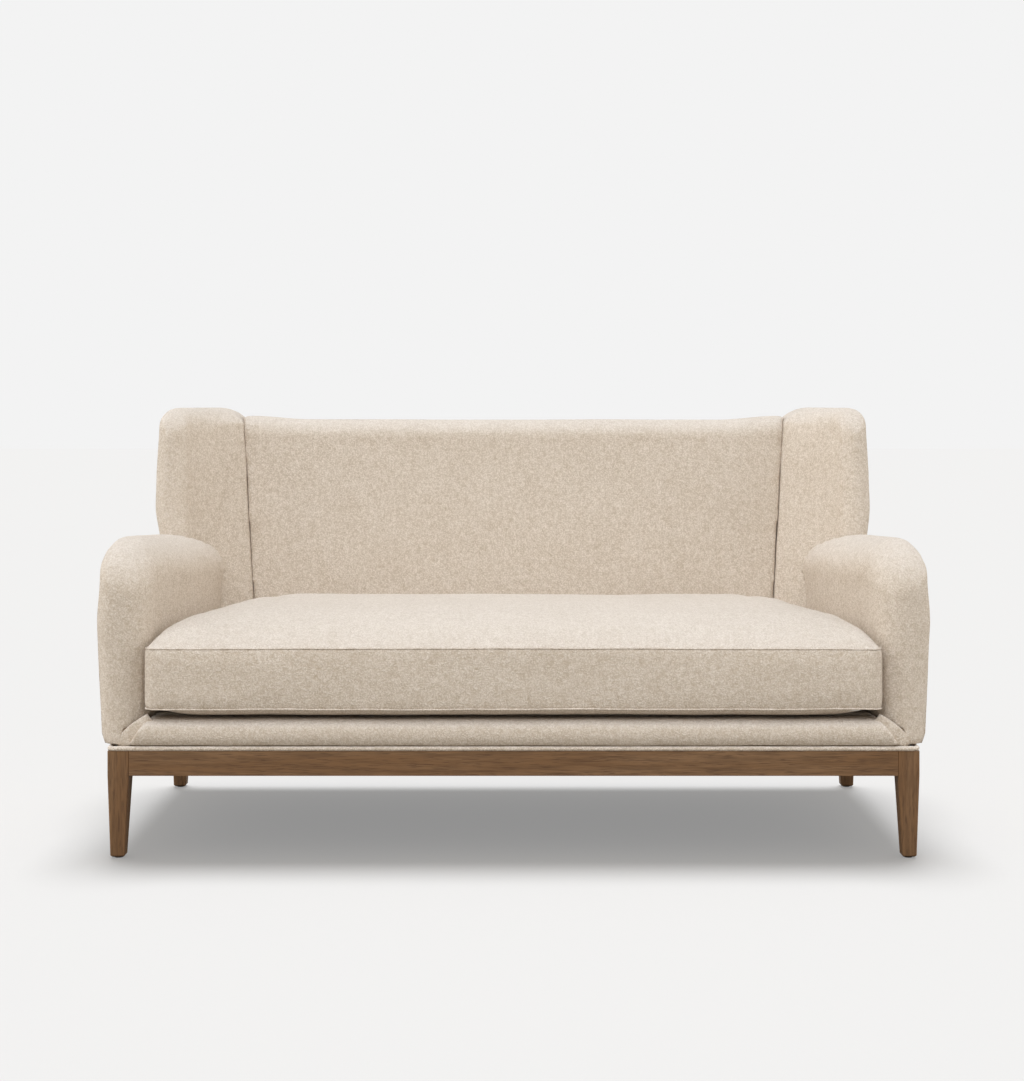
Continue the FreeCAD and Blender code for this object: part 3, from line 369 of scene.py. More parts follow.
# colour, dust, amount of dust, roughness, metallic, bump
steel = makeDusted("zincSteel", linear(186, 188, 192), linear(150, 148, 142), 0.2, 0.34, 1.0, 0.00005)
glideMetal = makeDusted("glideNickel", linear(170, 170, 172), linear(120, 116, 110), 0.3, 0.3, 1.0, 0.00005)
wrapFibre = makeDusted("wrapFibre", linear(238, 236, 230), linear(255, 255, 252), 0.5, 0.9, 0.0, 0.002)
foam = makeDusted("seatFoam", linear(232, 220, 176), linear(240, 232, 200), 0.4, 0.85, 0.0, 0.0008)
zipMetal = makeDusted("zipSliderMetal", linear(176, 160, 128), linear(120, 104, 80), 0.25, 0.32, 1.0, 0.00003)
# pace of the threads, two yarns, bump, roughness
webbing = makeWoven("juteWebbing", 1700.0, linear(188, 158, 112), linear(134, 104, 66), 0.0004)
deckCloth = makeWoven("deckCloth", 2600.0, linear(222, 214, 202), linear(196, 186, 172), 0.0002)
dustCloth = makeWoven("dustCloth", 3000.0, linear(44, 43, 42), linear(26, 25, 25), 0.0002)
zipTape = makeWoven("zipCoil", 3600.0, linear(206, 196, 182), linear(168, 156, 140), 0.0004, 0.6)
print("materials ready")


# mesh helpers

def placed(name, data):
    made = bpy.data.objects.new(name, data)
    scene.collection.objects.link(made)
    return made


def newPiece(name, points, faces, material, body="body"):
    mesh = bpy.data.meshes.new(name)
    mesh.from_pydata([tuple(p) for p in points], [], faces)
    mesh.update()
    piece = placed(name, mesh)
    mesh.materials.append(material)
    smoothShade(piece)
    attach(piece, body)
    return piece


def smoothShade(piece):
    piece.data.polygons.foreach_set("use_smooth", [True] * len(piece.data.polygons))


def readPoints(piece):
    points = np.empty(len(piece.data.vertices) * 3)
    piece.data.vertices.foreach_get("co", points)
    return points.reshape(-1, 3)


def writePoints(piece, points):
    piece.data.vertices.foreach_set("co", np.ascontiguousarray(points).ravel())
    piece.data.update()


def readNormals(piece):
    normals = np.empty(len(piece.data.vertices) * 3)
    piece.data.vertices.foreach_get("normal", normals)
    return normals.reshape(-1, 3)


def applyModifiers(piece):
    graph = bpy.context.evaluated_depsgraph_get()
    mesh = bpy.data.meshes.new_from_object(piece.evaluated_get(graph))
    piece.modifiers.clear()
    piece.data = mesh


def subdivide(piece):
    modifier = piece.modifiers.new("subdivide", "SUBSURF")
    modifier.levels = modifier.render_levels = 1
    applyModifiers(piece)
    smoothShade(piece)


def evenOut(piece, rounds):
    # smooths the surface and gives back the volume that smoothing takes
    points = readPoints(piece)
    ends = np.empty(len(piece.data.edges) * 2, dtype=np.int64)
    piece.data.edges.foreach_get("vertices", ends)
    one, two = ends.reshape(-1, 2).T
    size = len(points)
    count = np.bincount(ends, minlength=size)[:, None]
    for _ in range(rounds):
        for weight in (0.5, -0.52):
            near = [np.bincount(one, column[two], size) + np.bincount(two, column[one], size)
                    for column in points.T]
            near = np.stack(near, axis=1)
            points = points + weight * (near / np.maximum(count, 1) - points)
    writePoints(piece, points)


def solidTree(node):
    mesh = nodes[node].data
    corners = [v.co.copy() for v in mesh.vertices]
    return BVHTree.FromPolygons(corners, [tuple(f.vertices) for f in mesh.polygons])


def drawTo(piece, tree, share):
    # moves each point part of the way back onto the solid
    points = readPoints(piece)
    for i, point in enumerate(points):
        found = tree.find_nearest(Vector(point))
        points[i] += (np.array(found[0]) - point) * share
    writePoints(piece, points)


def padFromNode(name, node, voxel, rounds):
    # a copy of the node's solid, remeshed evenly and softened
    mesh = nodes[node].data.copy()
    mesh.name = name
    mesh.materials.clear()
    mesh.materials.append(clothMain)
    piece = placed(name, mesh)
    remesh = piece.modifiers.new("even", "REMESH")
    remesh.mode = "VOXEL"
    remesh.voxel_size = voxel
    applyModifiers(piece)
    tree = solidTree(node)
    evenOut(piece, rounds)
    drawTo(piece, tree, 0.9)
    evenOut(piece, 2)
    smoothShade(piece)
    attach(piece, "body")
    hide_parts(node)
    print(name, len(piece.data.vertices), "points")
    return piece


clothSim = {
    "frames": 20,
    "quality": 5,
    "mass": 0.3,
    "stretch": 25,
    "shear": 8,
    "bending": 1.5,
}


def plump(piece, pressure, cap, hold=None):
    # cloth under light air pressure, each point kept within its cap, and held points left where they are
    before = readPoints(piece)
    modifier = piece.modifiers.new("cloth", "CLOTH")
    settings = modifier.settings
    settings.quality = clothSim["quality"]
    settings.mass = clothSim["mass"]
    settings.tension_stiffness = settings.compression_stiffness = clothSim["stretch"]
    settings.shear_stiffness = clothSim["shear"]
    settings.bending_stiffness = clothSim["bending"]
    settings.use_pressure = True
    settings.uniform_pressure_force = pressure
    settings.effector_weights.gravity = 0
    modifier.collision_settings.use_collision = False
    if hold is not None:
        group = piece.vertex_groups.new(name="hold")
        for weight in np.unique(hold[hold > 0]):
            group.add([int(i) for i in np.nonzero(hold == weight)[0]], float(weight), "REPLACE")
        settings.vertex_group_mass = "hold"
    modifier.point_cache.frame_start = 1
    modifier.point_cache.frame_end = clothSim["frames"]
    for step in range(1, clothSim["frames"] + 1):
        scene.frame_set(step)
    graph = bpy.context.evaluated_depsgraph_get()
    result = piece.evaluated_get(graph).to_mesh()
    after = np.empty(len(result.vertices) * 3)
    result.vertices.foreach_get("co", after)
    after = after.reshape(-1, 3)
    piece.evaluated_get(graph).to_mesh_clear()
    piece.modifiers.clear()
    piece.vertex_groups.clear()
    scene.frame_set(1)
    move = after - before
    length = np.linalg.norm(move, axis=1, keepdims=True)
    move *= np.minimum(1.0, cap / np.maximum(length, 1e-9))
    writePoints(piece, before + move)
    moved = float(np.linalg.norm(move, axis=1).mean())
    print(piece.name, "plumped, mean move", round(moved * 1000, 2), "mm")


def ripple(piece, size, depth, seed):
    # slow uneven stuffing, along the normals
    points = readPoints(piece)
    normals = readNormals(piece)
    lift = np.array([noise.noise(Vector(p) / size + Vector((seed, seed * 1.7, -seed))) for p in points])
    writePoints(piece, points + normals * (lift * depth)[:, None])


def rise(values, start, end):
    # 0 before start, 1 after end, smooth between
    share = np.clip((values - start) / (end - start), 0.0, 1.0)
    return share * share * (3 - 2 * share)


def crease(piece, start, end, depth, width):
    # a sewn or pulled line pressed into the surface, its lip slightly raised
    points = readPoints(piece)
    normals = readNormals(piece)
    start, end = np.array(start), np.array(end)
    run = end - start
    along = np.clip(((points - start) @ run) / (run @ run), 0, 1)
    away = np.linalg.norm(points - start - along[:, None] * run, axis=1) / width
    fade = np.sin(math.pi * np.clip(along * 0.8 + 0.1, 0, 1))
    push = (-np.exp(-away ** 2 * 2) + 0.45 * np.exp(-(away - 1.7) ** 2 * 3)) * depth * fade
    writePoints(piece, points + normals * push[:, None])


def mirrored(piece, name, node):
    mesh = piece.data.copy()
    mesh.name = name
    twin = placed(name, mesh)
    points = readPoints(twin)
    points[:, 0] *= -1
    writePoints(twin, points)
    mesh.flip_normals()
    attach(twin, "body")
    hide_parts(node)
    return twin


def hull(points):
    # convex outline of flat points, anticlockwise
    points = sorted(set((round(float(x), 5), round(float(y), 5)) for x, y in points))

    def half(ordered):
        chain = []
        for p in ordered:
            while len(chain) > 1 and ((chain[-1][0] - chain[-2][0]) * (p[1] - chain[-2][1])
                                      - (chain[-1][1] - chain[-2][1]) * (p[0] - chain[-2][0])) <= 0:
                chain.pop()
            chain.append(p)
        return chain[:-1]

    return half(points) + half(points[::-1])


def evenly(outline, step):
    # a closed outline as points at an even spacing
    loop = np.array(list(outline) + [outline[0]], float)
    lengths = np.linalg.norm(np.diff(loop, axis=0), axis=1)
    along = np.concatenate([[0], np.cumsum(lengths)])
    count = max(int(round(along[-1] / step)), 8)
    places = np.linspace(0, along[-1], count, endpoint=False)
    return np.stack([np.interp(places, along, loop[:, k]) for k in range(loop.shape[1])], axis=1)


def ease(value):
    # 0 to 1, quick at first
    return 1 - (1 - np.clip(value, 0, 1)) ** 2.0


def rungs(rows, sides, closed=False):
    # faces between rings of points, with the two ends filled where the run is open
    faces = []
    for i in range(rows if closed else rows - 1):
        j = (i + 1) % rows
        for k in range(sides):
            m = (k + 1) % sides
            faces.append((i * sides + k, i * sides + m, j * sides + m, j * sides + k))
    if not closed:
        faces.append(tuple(range(sides))[::-1])
        faces.append(tuple((rows - 1) * sides + k for k in range(sides)))
    return faces


def tube(name, path, radius, material, sides, wobble, seed, body="body", closed=True):
    # a soft roll swept along a path, its radius slightly uneven
    draw = random.Random(seed)
    path = [Vector(p) for p in path]
    count = len(path)
    points = []
    for i, here in enumerate(path):
        ahead = path[(i + 1) % count] if closed or i < count - 1 else here
        behind = path[i - 1] if closed or i > 0 else here
        way = (ahead - behind).normalized()
        side = way.cross(Vector((0, 0, 1)))
        side = side.normalized() if side.length > 1e-4 else Vector((1, 0, 0))
        up = side.cross(way)
        size = radius * (1 + wobble * draw.uniform(-1, 1))
        for k in range(sides):
            turn = 2 * math.pi * k / sides
            points.append(here + side * (math.cos(turn) * size) + up * (math.sin(turn) * size))
    piece = newPiece(name, points, rungs(count, sides, closed), material, body)
    fixNormals(piece)
    return piece


def fixNormals(piece):
    work = bmesh.new()
    work.from_mesh(piece.data)
    bmesh.ops.recalc_face_normals(work, faces=work.faces)
    work.to_mesh(piece.data)
    work.free()
    smoothShade(piece)


# loose seat cushion

seatCushion = {
    "cell": 0.011,
    "topSeam": 0.450,
    "bottomSeam": 0.323,
    "seamSetIn": 0.0008,
    "seamHold": 0.6,
    "heldBelow": 0.002,
    "rounds": 6,
    "rowCrowding": 1.12,
    "bulge": 0.004,
    "topSeamRadius": 0.0011,
    "bottomSeamRadius": 0.0019,
    "pressure": 4.0,
    "cap": 0.006,
    "sideRoom": 0.003,
    "frontRoom": 0.006,
    "fullness": 0.002,
    "liftedBand": 0.012,
    "endLift": 0.009,
    "endFrom": (0.68, 0.785),
    "frontLift": 0.0045,
    "frontTo": (-0.43, -0.375),
    "stuffing": ((0.16, 0.0022, 3.1), (0.05, 0.0007, 8.3)),
    "zipGap": 0.0006,
    "zipBand": (0.014, 0.04),
    "zipSwell": 0.0035,
}


def makeSeatCushion():
    v = seatCushion
    low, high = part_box("cushion_cover")
    tree = solidTree("cushion_cover")
    outline = hull([(p[0], p[1]) for p in readPoints(nodes["cushion_cover"])])
    loop = np.array(outline + [outline[0]])

    def halfWidth(y):
        best = 0.0
        for a, b in zip(loop[:-1], loop[1:]):
            if min(a[1], b[1]) - 1e-9 <= y <= max(a[1], b[1]) + 1e-9 and abs(a[1] - b[1]) > 1e-9:
                best = max(best, abs(a[0] + (b[0] - a[0]) * (y - a[1]) / (b[1] - a[1])))
        return best

    def solidLevel(x, y, top):
        start = Vector((x, y, high[2] + 0.1 if top else low[2] - 0.1))
        found = tree.ray_cast(start, Vector((0, 0, -1 if top else 1)))
        seam = v["topSeam"] if top else v["bottomSeam"]
        if found[0] is None:
            return seam
        return max(found[0].z, seam) if top else min(found[0].z, seam)

    front, rear = low[1] + v["seamSetIn"], high[1] - v["seamSetIn"]
    rows = int(round((rear - front) / v["cell"]))
    columns = int(round(2 * high[0] / v["cell"]))
    # rows stand closer at the rounded front corners
    ys = front + (rear - front) * np.linspace(0, 1, rows + 1) ** v["rowCrowding"]
    widths = np.array([halfWidth(y) for y in ys]) - v["seamSetIn"]
    across = np.linspace(-1, 1, columns + 1)
    points, index, faces = [], {}, []
    for layer in ("top", "under"):
        for r, y in enumerate(ys):
            for c, u in enumerate(across):
                x = u * widths[r]
                index[layer, r, c] = len(points)
                points.append((x, y, solidLevel(x, y, layer == "top")))
    rim = [(0, c) for c in range(columns + 1)]
    rim += [(r, columns) for r in range(1, rows + 1)]
    rim += [(rows, c) for c in range(columns - 1, -1, -1)]
    rim += [(r, 0) for r in range(rows - 1, 0, -1)]
    for r, c in rim:
        for layer, level in (("top", v["topSeam"]), ("under", v["bottomSeam"])):
            k = index[layer, r, c]
            points[k] = (points[k][0], points[k][1], level)
    for r in range(rows):
        for c in range(columns):
            for layer in ("top", "under"):
                a, b = index[layer, r, c], index[layer, r, c + 1]
                d, e = index[layer, r + 1, c], index[layer, r + 1, c + 1]
                faces.append((a, b, e, d) if layer == "top" else (a, d, e, b))
    count = len(rim)
    rimPoints = np.array([points[index["top", r, c]] for r, c in rim])
    ahead = np.roll(rimPoints, -2, axis=0) - np.roll(rimPoints, 2, axis=0)
    out = np.stack([ahead[:, 1], -ahead[:, 0]], axis=1)
    out /= np.maximum(np.linalg.norm(out, axis=1, keepdims=True), 1e-9)
    levels = int(round((v["topSeam"] - v["bottomSeam"]) / v["cell"]))
    rings = [[index["top", r, c] for r, c in rim]]
    for k in range(1, levels):
        share = k / levels
        z = v["topSeam"] + (v["bottomSeam"] - v["topSeam"]) * share
        bulge = v["bulge"] * math.sin(math.pi * share) ** 0.6
        base = len(points)
        for i in range(count):
            points.append((rimPoints[i, 0] + out[i, 0] * bulge, rimPoints[i, 1] + out[i, 1] * bulge, z))
        rings.append(list(range(base, base + count)))
    rings.append([index["under", r, c] for r, c in rim])
    for upper, lower in zip(rings, rings[1:]):
        for i in range(count):
            j = (i + 1) % count
            faces.append((upper[j], upper[i], lower[i], lower[j]))
    piece = newPiece("seatCushion", points, faces, clothMain, "seat_cushion")
    fixNormals(piece)
    seams = np.array(rings[0] + rings[-1])
    shaped = readPoints(piece)
    below = 1 - rise(shaped[:, 2], v["bottomSeam"] - v["liftedBand"], v["bottomSeam"])
    lift = rise(abs(shaped[:, 0]), *v["endFrom"]) * v["endLift"]
    lift += (1 - rise(shaped[:, 1], *v["frontTo"])) * v["frontLift"]
    shaped[:, 2] += below * lift
    writePoints(piece, shaped)
    held = shaped[seams]
    evenOut(piece, v["rounds"])
    start = readPoints(piece)
    start[seams] = held
    start += readNormals(piece) * v["fullness"]
    writePoints(piece, start)
    for size, depth, seed in v["stuffing"]:
        ripple(piece, size, depth, seed)
    hold = np.zeros(len(start))
    hold[start[:, 2] < low[2] + v["heldBelow"]] = 1.0
    hold[seams] = v["seamHold"]
    plump(piece, v["pressure"], v["cap"], hold)
    now = readPoints(piece)
    now[:, 2] = np.maximum(now[:, 2], low[2] + 0.0002)
    # the rear stays flat behind the zip, so that the zip lies on it
    zipLow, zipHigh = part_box("cushion_zip")
    fromZip = abs(now[:, 2] - (zipLow[2] + zipHigh[2]) / 2)
    rearmost = zipLow[1] - v["zipGap"] + v["zipSwell"] * rise(fromZip, *v["zipBand"])
    now[:, 1] = np.clip(now[:, 1], low[1] - v["frontRoom"], rearmost)
    inner = np.clip(now[:, 1], low[1] + 0.0005, high[1] - 0.0005)
    limit = np.array([halfWidth(y) for y in inner]) + v["sideRoom"]
    now[:, 0] = np.clip(now[:, 0], -limit, limit)
    writePoints(piece, now)
    subdivide(piece)
    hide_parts("cushion_cover")
    for name, ring, radius, seed in (("cushionTopSeam", rings[0], v["topSeamRadius"], 5),
                                     ("cushionBottomSeam", rings[-1], v["bottomSeamRadius"], 9)):
        tube(name, now[ring], radius, clothWelt, 6, 0.3, seed, body="seat_cushion")


makeSeatCushion()
print("seat cushion made")


# fixed upholstery

padPressure = 3.0
sideStuffing = (0.2, 0.0012)
armShape = {
    "voxel": 0.009,
    "rounds": 5,
    "room": 0.0016,
    "stuffing": (0.14, 0.0012, 1.3),
    "cap": 0.0022,
    # each side: which way it faces, drop of the top, further drop at the outer shoulder, seed
    "sides": {"Right": (1, 0.003, 0.011, 4.4), "Left": (-1, 0.002, 0.005, 6.2)},
    "dropFrom": (0.58, 0.66),
    "shoulderFrom": (0.82, 0.905),
    # the lower part of the outer side is fuller than the solid
    "flare": 0.013,
    "flareFrom": (0.80, 0.865),
    "flareTop": (0.49, 0.625),
    "flareFoot": (0.24, 0.262),
    # the fabric is turned in beside the outer shoulder and pulls faintly along the inner side:
    # start, end, depth, width, for the side that faces +X
    "creases": (((0.9, -0.415, 0.586), (0.868, -0.425, 0.592), 0.0022, 0.006),
                ((0.72, -0.20, 0.63), (0.79, -0.385, 0.60), 0.0009, 0.014)),
}
wingShape = {
    "voxel": 0.009,
    "rounds": 5,
    "room": 0.0016,
    "stuffing": (0.14, 0.0014, 2.3),
    "cap": 0.0025,
    # each side: which way it faces, how much fuller its outer edge is, seed
    "sides": {"Right": (1, 0.009, 5.4), "Left": (-1, 0.013, 7.2)},
    "flareFrom": (0.76, 0.825),
    "flareLow": (0.64, 0.73),
    "flareHigh": (0.93, 0.965),
    "seamDrop": 0.007,
    "seamDropFrom": (0.88, 0.95),
    "seamTo": (0.635, 0.71),
    "creases": (((0.845, -0.03, 0.892), (0.815, -0.045, 0.9), 0.0022, 0.006),),
    # on the left the fabric also pulls where the wing meets the arm
    "pulls": (((0.83, -0.04, 0.715), (0.735, -0.03, 0.683), 0.003, 0.012),
              ((0.82, -0.04, 0.735), (0.76, -0.03, 0.717), 0.0016, 0.01)),
}
backShape = {
    "voxel": 0.012,
    "rounds": 5,
    "room": 0.0016,
    "stuffing": (0.22, 0.002, 9.1),
    "cap": 0.003,
    "crestRise": 0.009,
    "crestFrom": (0.52, 0.66),
    "topFrom": (0.88, 0.93),
    "drop": 0.003,
    "widen": 1.006,
}
borderShape = {
    "voxel": 0.006,
    "rounds": 3,
    "room": 0.0,
    "stuffing": (0.09, 0.0009, 4.7),
    "cap": 0.0015,
    "drop": 0.0068,
    "dropFrom": (0.279, 0.304),
}


def makePad(name, node, shape):
    # the pad starts slightly small where it has room to swell
    pad = padFromNode(name, node, shape["voxel"], shape["rounds"])
    writePoints(pad, readPoints(pad) - readNormals(pad) * shape["room"])
    ripple(pad, *shape["stuffing"])
    plump(pad, padPressure, shape["cap"])
    return pad


def armFlareAt(height):
    v = armShape
    foot = 0.5 + 0.5 * rise(height, *v["flareFoot"])
    return v["flare"] * (1 - rise(height, *v["flareTop"])) * foot


def wingFlareAt(height, size):
    v = wingShape
    return size * rise(height, *v["flareLow"]) * (1 - 0.5 * rise(height, *v["flareHigh"]))


def mirroredCreases(piece, way, creases):
    for start, end, depth, width in creases:
        crease(piece, (way * start[0], *start[1:]), (way * end[0], *end[1:]), depth, width)


def makeArms():
    v = armShape
    arm = makePad("armPadRight", "arm_pad_right", v)
    twin = mirrored(arm, "armPadLeft", "arm_pad_left")
    for piece, (way, drop, shoulder, seed) in zip((arm, twin), v["sides"].values()):
        ripple(piece, *sideStuffing, seed)
        points = readPoints(piece)
        out = points[:, 0] * way
        lowered = drop + shoulder * rise(out, *v["shoulderFrom"])
        points[:, 2] -= rise(points[:, 2], *v["dropFrom"]) * lowered
        points[:, 0] += way * armFlareAt(points[:, 2]) * rise(out, *v["flareFrom"])
        writePoints(piece, points)
        subdivide(piece)
        mirroredCreases(piece, way, v["creases"])


def makeWings():
    v = wingShape
    wing = makePad("wingPadRight", "wing_pad_right", v)
    twin = mirrored(wing, "wingPadLeft", "wing_pad_left")
    for piece, (way, size, seed) in zip((wing, twin), v["sides"].values()):
        ripple(piece, *sideStuffing, seed)
        points = readPoints(piece)
        out = points[:, 0] * way
        lowered = v["seamDrop"] * rise(points[:, 2], *v["seamDropFrom"])
        points[:, 2] -= lowered * (1 - rise(out, *v["seamTo"]))
        points[:, 0] += way * wingFlareAt(points[:, 2], size) * rise(out, *v["flareFrom"])
        writePoints(piece, points)
        subdivide(piece)
        mirroredCreases(piece, way, v["creases"] + (v["pulls"] if piece is twin else ()))


def makeInsideBack():
    v = backShape
    back = makePad("insideBackPad", "inside_back", v)
    points = readPoints(back)
    crest = v["crestRise"] * rise(abs(points[:, 0]), *v["crestFrom"]) - v["drop"]
    points[:, 2] += rise(points[:, 2], *v["topFrom"]) * crest
    points[:, 0] *= v["widen"]
    writePoints(back, points)
    subdivide(back)


def makeFrontBorder():
    v = borderShape
    border = makePad("frontBorderPad", "front_border", v)
    points = readPoints(border)
    points[:, 2] -= v["drop"] * rise(points[:, 2], *v["dropFrom"])
    writePoints(border, points)
    subdivide(border)


cornerFold = {
    # fabric folded in between the border's end and the arm
    "top": (0.778, -0.4085, 0.298),
    "foot": (0.846, -0.4105, 0.2425),
    "width": 0.019,
    "thick": 0.0042,
    "rows": 12,
    "sides": 16,
    "lowest": 0.2412,
}


def makeCornerFolds():
    v = cornerFold
    for side, way in (("Right", 1), ("Left", -1)):
        top, foot = np.array(v["top"]), np.array(v["foot"])
        run = foot - top
        across = np.array([run[2], 0.0, -run[0]]) / math.hypot(run[0], run[2])
        rows, sides = v["rows"], v["sides"]
        points = []
        for r in range(rows + 1):
            share = r / rows
            centre = top + run * share
            swell = 0.75 + 0.25 * math.sin(math.pi * share)
            for k in range(sides):
                turn = 2 * math.pi * k / sides
                spot = centre + across * (v["width"] * swell * math.cos(turn))
                spot = spot + np.array([0, -1.0, 0]) * (v["thick"] * swell * math.sin(turn))
                points.append((spot[0] * way, spot[1], max(spot[2], v["lowest"])))
        piece = newPiece("cornerFold" + side, points, rungs(rows + 1, sides), clothMain)
        fixNormals(piece)


makeArms()
makeWings()
makeInsideBack()
makeFrontBorder()
makeCornerFolds()
print("fixed upholstery made")


# thin panels: outside arms, outside wings, outside back and deck

panels = {
    "spacing": 0.011,
    "rimTuck": 0.0025,
    "rimRun": 0.012,
    "crown": 0.003,
    "crownRun": 0.16,
    "ripple": (0.12, 0.0008),
    "rimInsets": [0.0, 0.003, 0.007, 0.013],
    "firstInset": 0.025,
    "insetStep": 0.018,
    "lastInset": 0.94,
    "insideRim": 0.992,
    "rearFade": (0.2, 0.38),
}


def makePanel(name, node, axis, outward, material, crown=None, tuck=None, swell=None):
    # a covered panel in its node's place: tucked rim, gently crowned face, flat hidden side
    v = panels
    crown = v["crown"] if crown is None else crown
    tuck = v["rimTuck"] if tuck is None else tuck
    points = readPoints(nodes[node])
    tree = solidTree(node)
    flat = [k for k in range(3) if k != axis]
    outline = evenly(hull([(p[flat[0]], p[flat[1]]) for p in points]), v["spacing"])
    centre = outline.mean(axis=0)
    reach = np.linalg.norm(outline - centre, axis=1)
    inset = v["rimInsets"] + list(np.arange(v["firstInset"], reach.min() * v["lastInset"], v["insetStep"]))
    made, faces = [], []

    def faceLevel(place, way):
        # where the node's own face stands at this place
        start, aim = Vector((0, 0, 0)), Vector((0, 0, 0))
        start[flat[0]], start[flat[1]] = centre + (place - centre) * v["insideRim"]
        start[axis] = way * 3.0
        aim[axis] = -way
        found = tree.ray_cast(start, aim)[0]
        if found is None:
            start[axis] = points[:, axis].mean()
            found = tree.find_nearest(start)[0]
        return found[axis]

    def put(place, lift, way=outward):
        more = swell(place) if swell and way == outward else 0.0
        point = [0.0, 0.0, 0.0]
        point[flat[0]], point[flat[1]] = place
        point[axis] = faceLevel(place, way) + outward * (lift + more)
        made.append(point)

    count = len(outline)
    for place in outline:
        put(place, 0.0, -outward)
    for depth in inset:
        lift = -tuck * (1 - ease(depth / v["rimRun"])) + crown * float(ease(depth / v["crownRun"]))
        for place in outline:
            put(centre + (place - centre) * (1 - depth / reach.min()), lift)
    put(centre, crown)
    for ring in range(len(inset)):
        for i in range(count):
            j = (i + 1) % count
            a, b = ring * count, (ring + 1) * count
            faces.append((a + i, a + j, b + j, b + i))
    last = len(inset) * count
    for i in range(count):
        faces.append((last + i, last + (i + 1) % count, len(made) - 1))
    faces.append(tuple(range(count))[::-1])
    piece = newPiece(name, made, faces, material)
    fixNormals(piece)
    ripple(piece, *v["ripple"], 2.0 + len(name))
    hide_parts(node)
    return piece


def makePanels():
    fade = panels["rearFade"]
    for side, (way, wide, _) in wingShape["sides"].items():
        swells = {
            "Arm": lambda place: float(armFlareAt(place[1]) * (1 - rise(place[0], *fade))),
            "Wing": lambda place: float(wingFlareAt(place[1], wide) * (1 - rise(place[0], *fade))),
        }
        for part, swell in swells.items():
            node = "outside_" + part.lower() + "_" + side.lower()
            piece = makePanel("outside" + part + side, node, 0, way, clothMain, swell=swell)
    back = makePanel("outsideBackPanel", "outside_back", 1, 1, clothMain)
    deck = makePanel("deckPad", "seat_deck", 2, 1, deckCloth, crown=-0.0006, tuck=0.004)


rearTucks = {
    # fabric folded in under each wing's rear corner, and where the arm meets the wing:
    # x, level, sway, pace of the sway, first and last y, points, radius, seed
    "wingTuck": (0.838, 0.9125, 0.002, 40, 0.3, 0.421, 9, 0.0115, 4),
    "armTuck": (0.857, 0.653, 0.0015, 50, 0.31, 0.402, 8, 0.0105, 6),
}


def makeRearTucks():
    for side, way in (("Right", 1), ("Left", -1)):
        for name, (x, level, sway, pace, start, end, count, radius, seed) in rearTucks.items():
            ys = np.linspace(start, end, count)
            path = [(way * x, y, level + sway * math.sin(y * pace)) for y in ys]
            tuck = tube(name + side, path, radius, clothMain, 12, 0.06, seed, closed=False)


makePanels()
makeRearTucks()
print("panels made")


# welt round the base

baseWelt = {
    "radius": 0.0052,
    "corner": 0.008,
    "spacing": 0.006,
    "wobble": 0.05,
}


def makeBaseWelt():
    v = baseWelt
    low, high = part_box("base_welt")
    level = (low[2] + high[2]) / 2
    radius, corner = v["radius"], v["corner"]
    x0, y0, x1, y1 = low[0] + radius, low[1] + radius, high[0] - radius, high[1] - radius
    outline = []
    for cx, cy, turn in ((x1 - corner, y0 + corner, -90), (x1 - corner, y1 - corner, 0),
                         (x0 + corner, y1 - corner, 90), (x0 + corner, y0 + corner, 180)):
        for step in range(7):
            angle = math.radians(turn + step * 15)
            outline.append((cx + corner * math.cos(angle), cy + corner * math.sin(angle), level))
    path = evenly(outline, v["spacing"])
    welt = tube("baseWelt", path, radius, clothWelt, 10, v["wobble"], 3)
    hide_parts("base_welt")


makeBaseWelt()
print("base welt made")


dustSheet = {
    "spacing": 0.03,
    "sag": 0.006,
    "sagFrom": (0.06, 0.34),
    "pucker": 0.0006,
    "puckerPace": 110,
    "hem": 0.012,
    "puckerTo": 0.09,
    "stapleEvery": 0.055,
    "stapleEnds": (0.05, 0.04),
    "stapleShift": (0.006, 0.002),
    "stapleLean": 0.35,
    "staple": (0.0105, 0.0012, 0.0009),
}


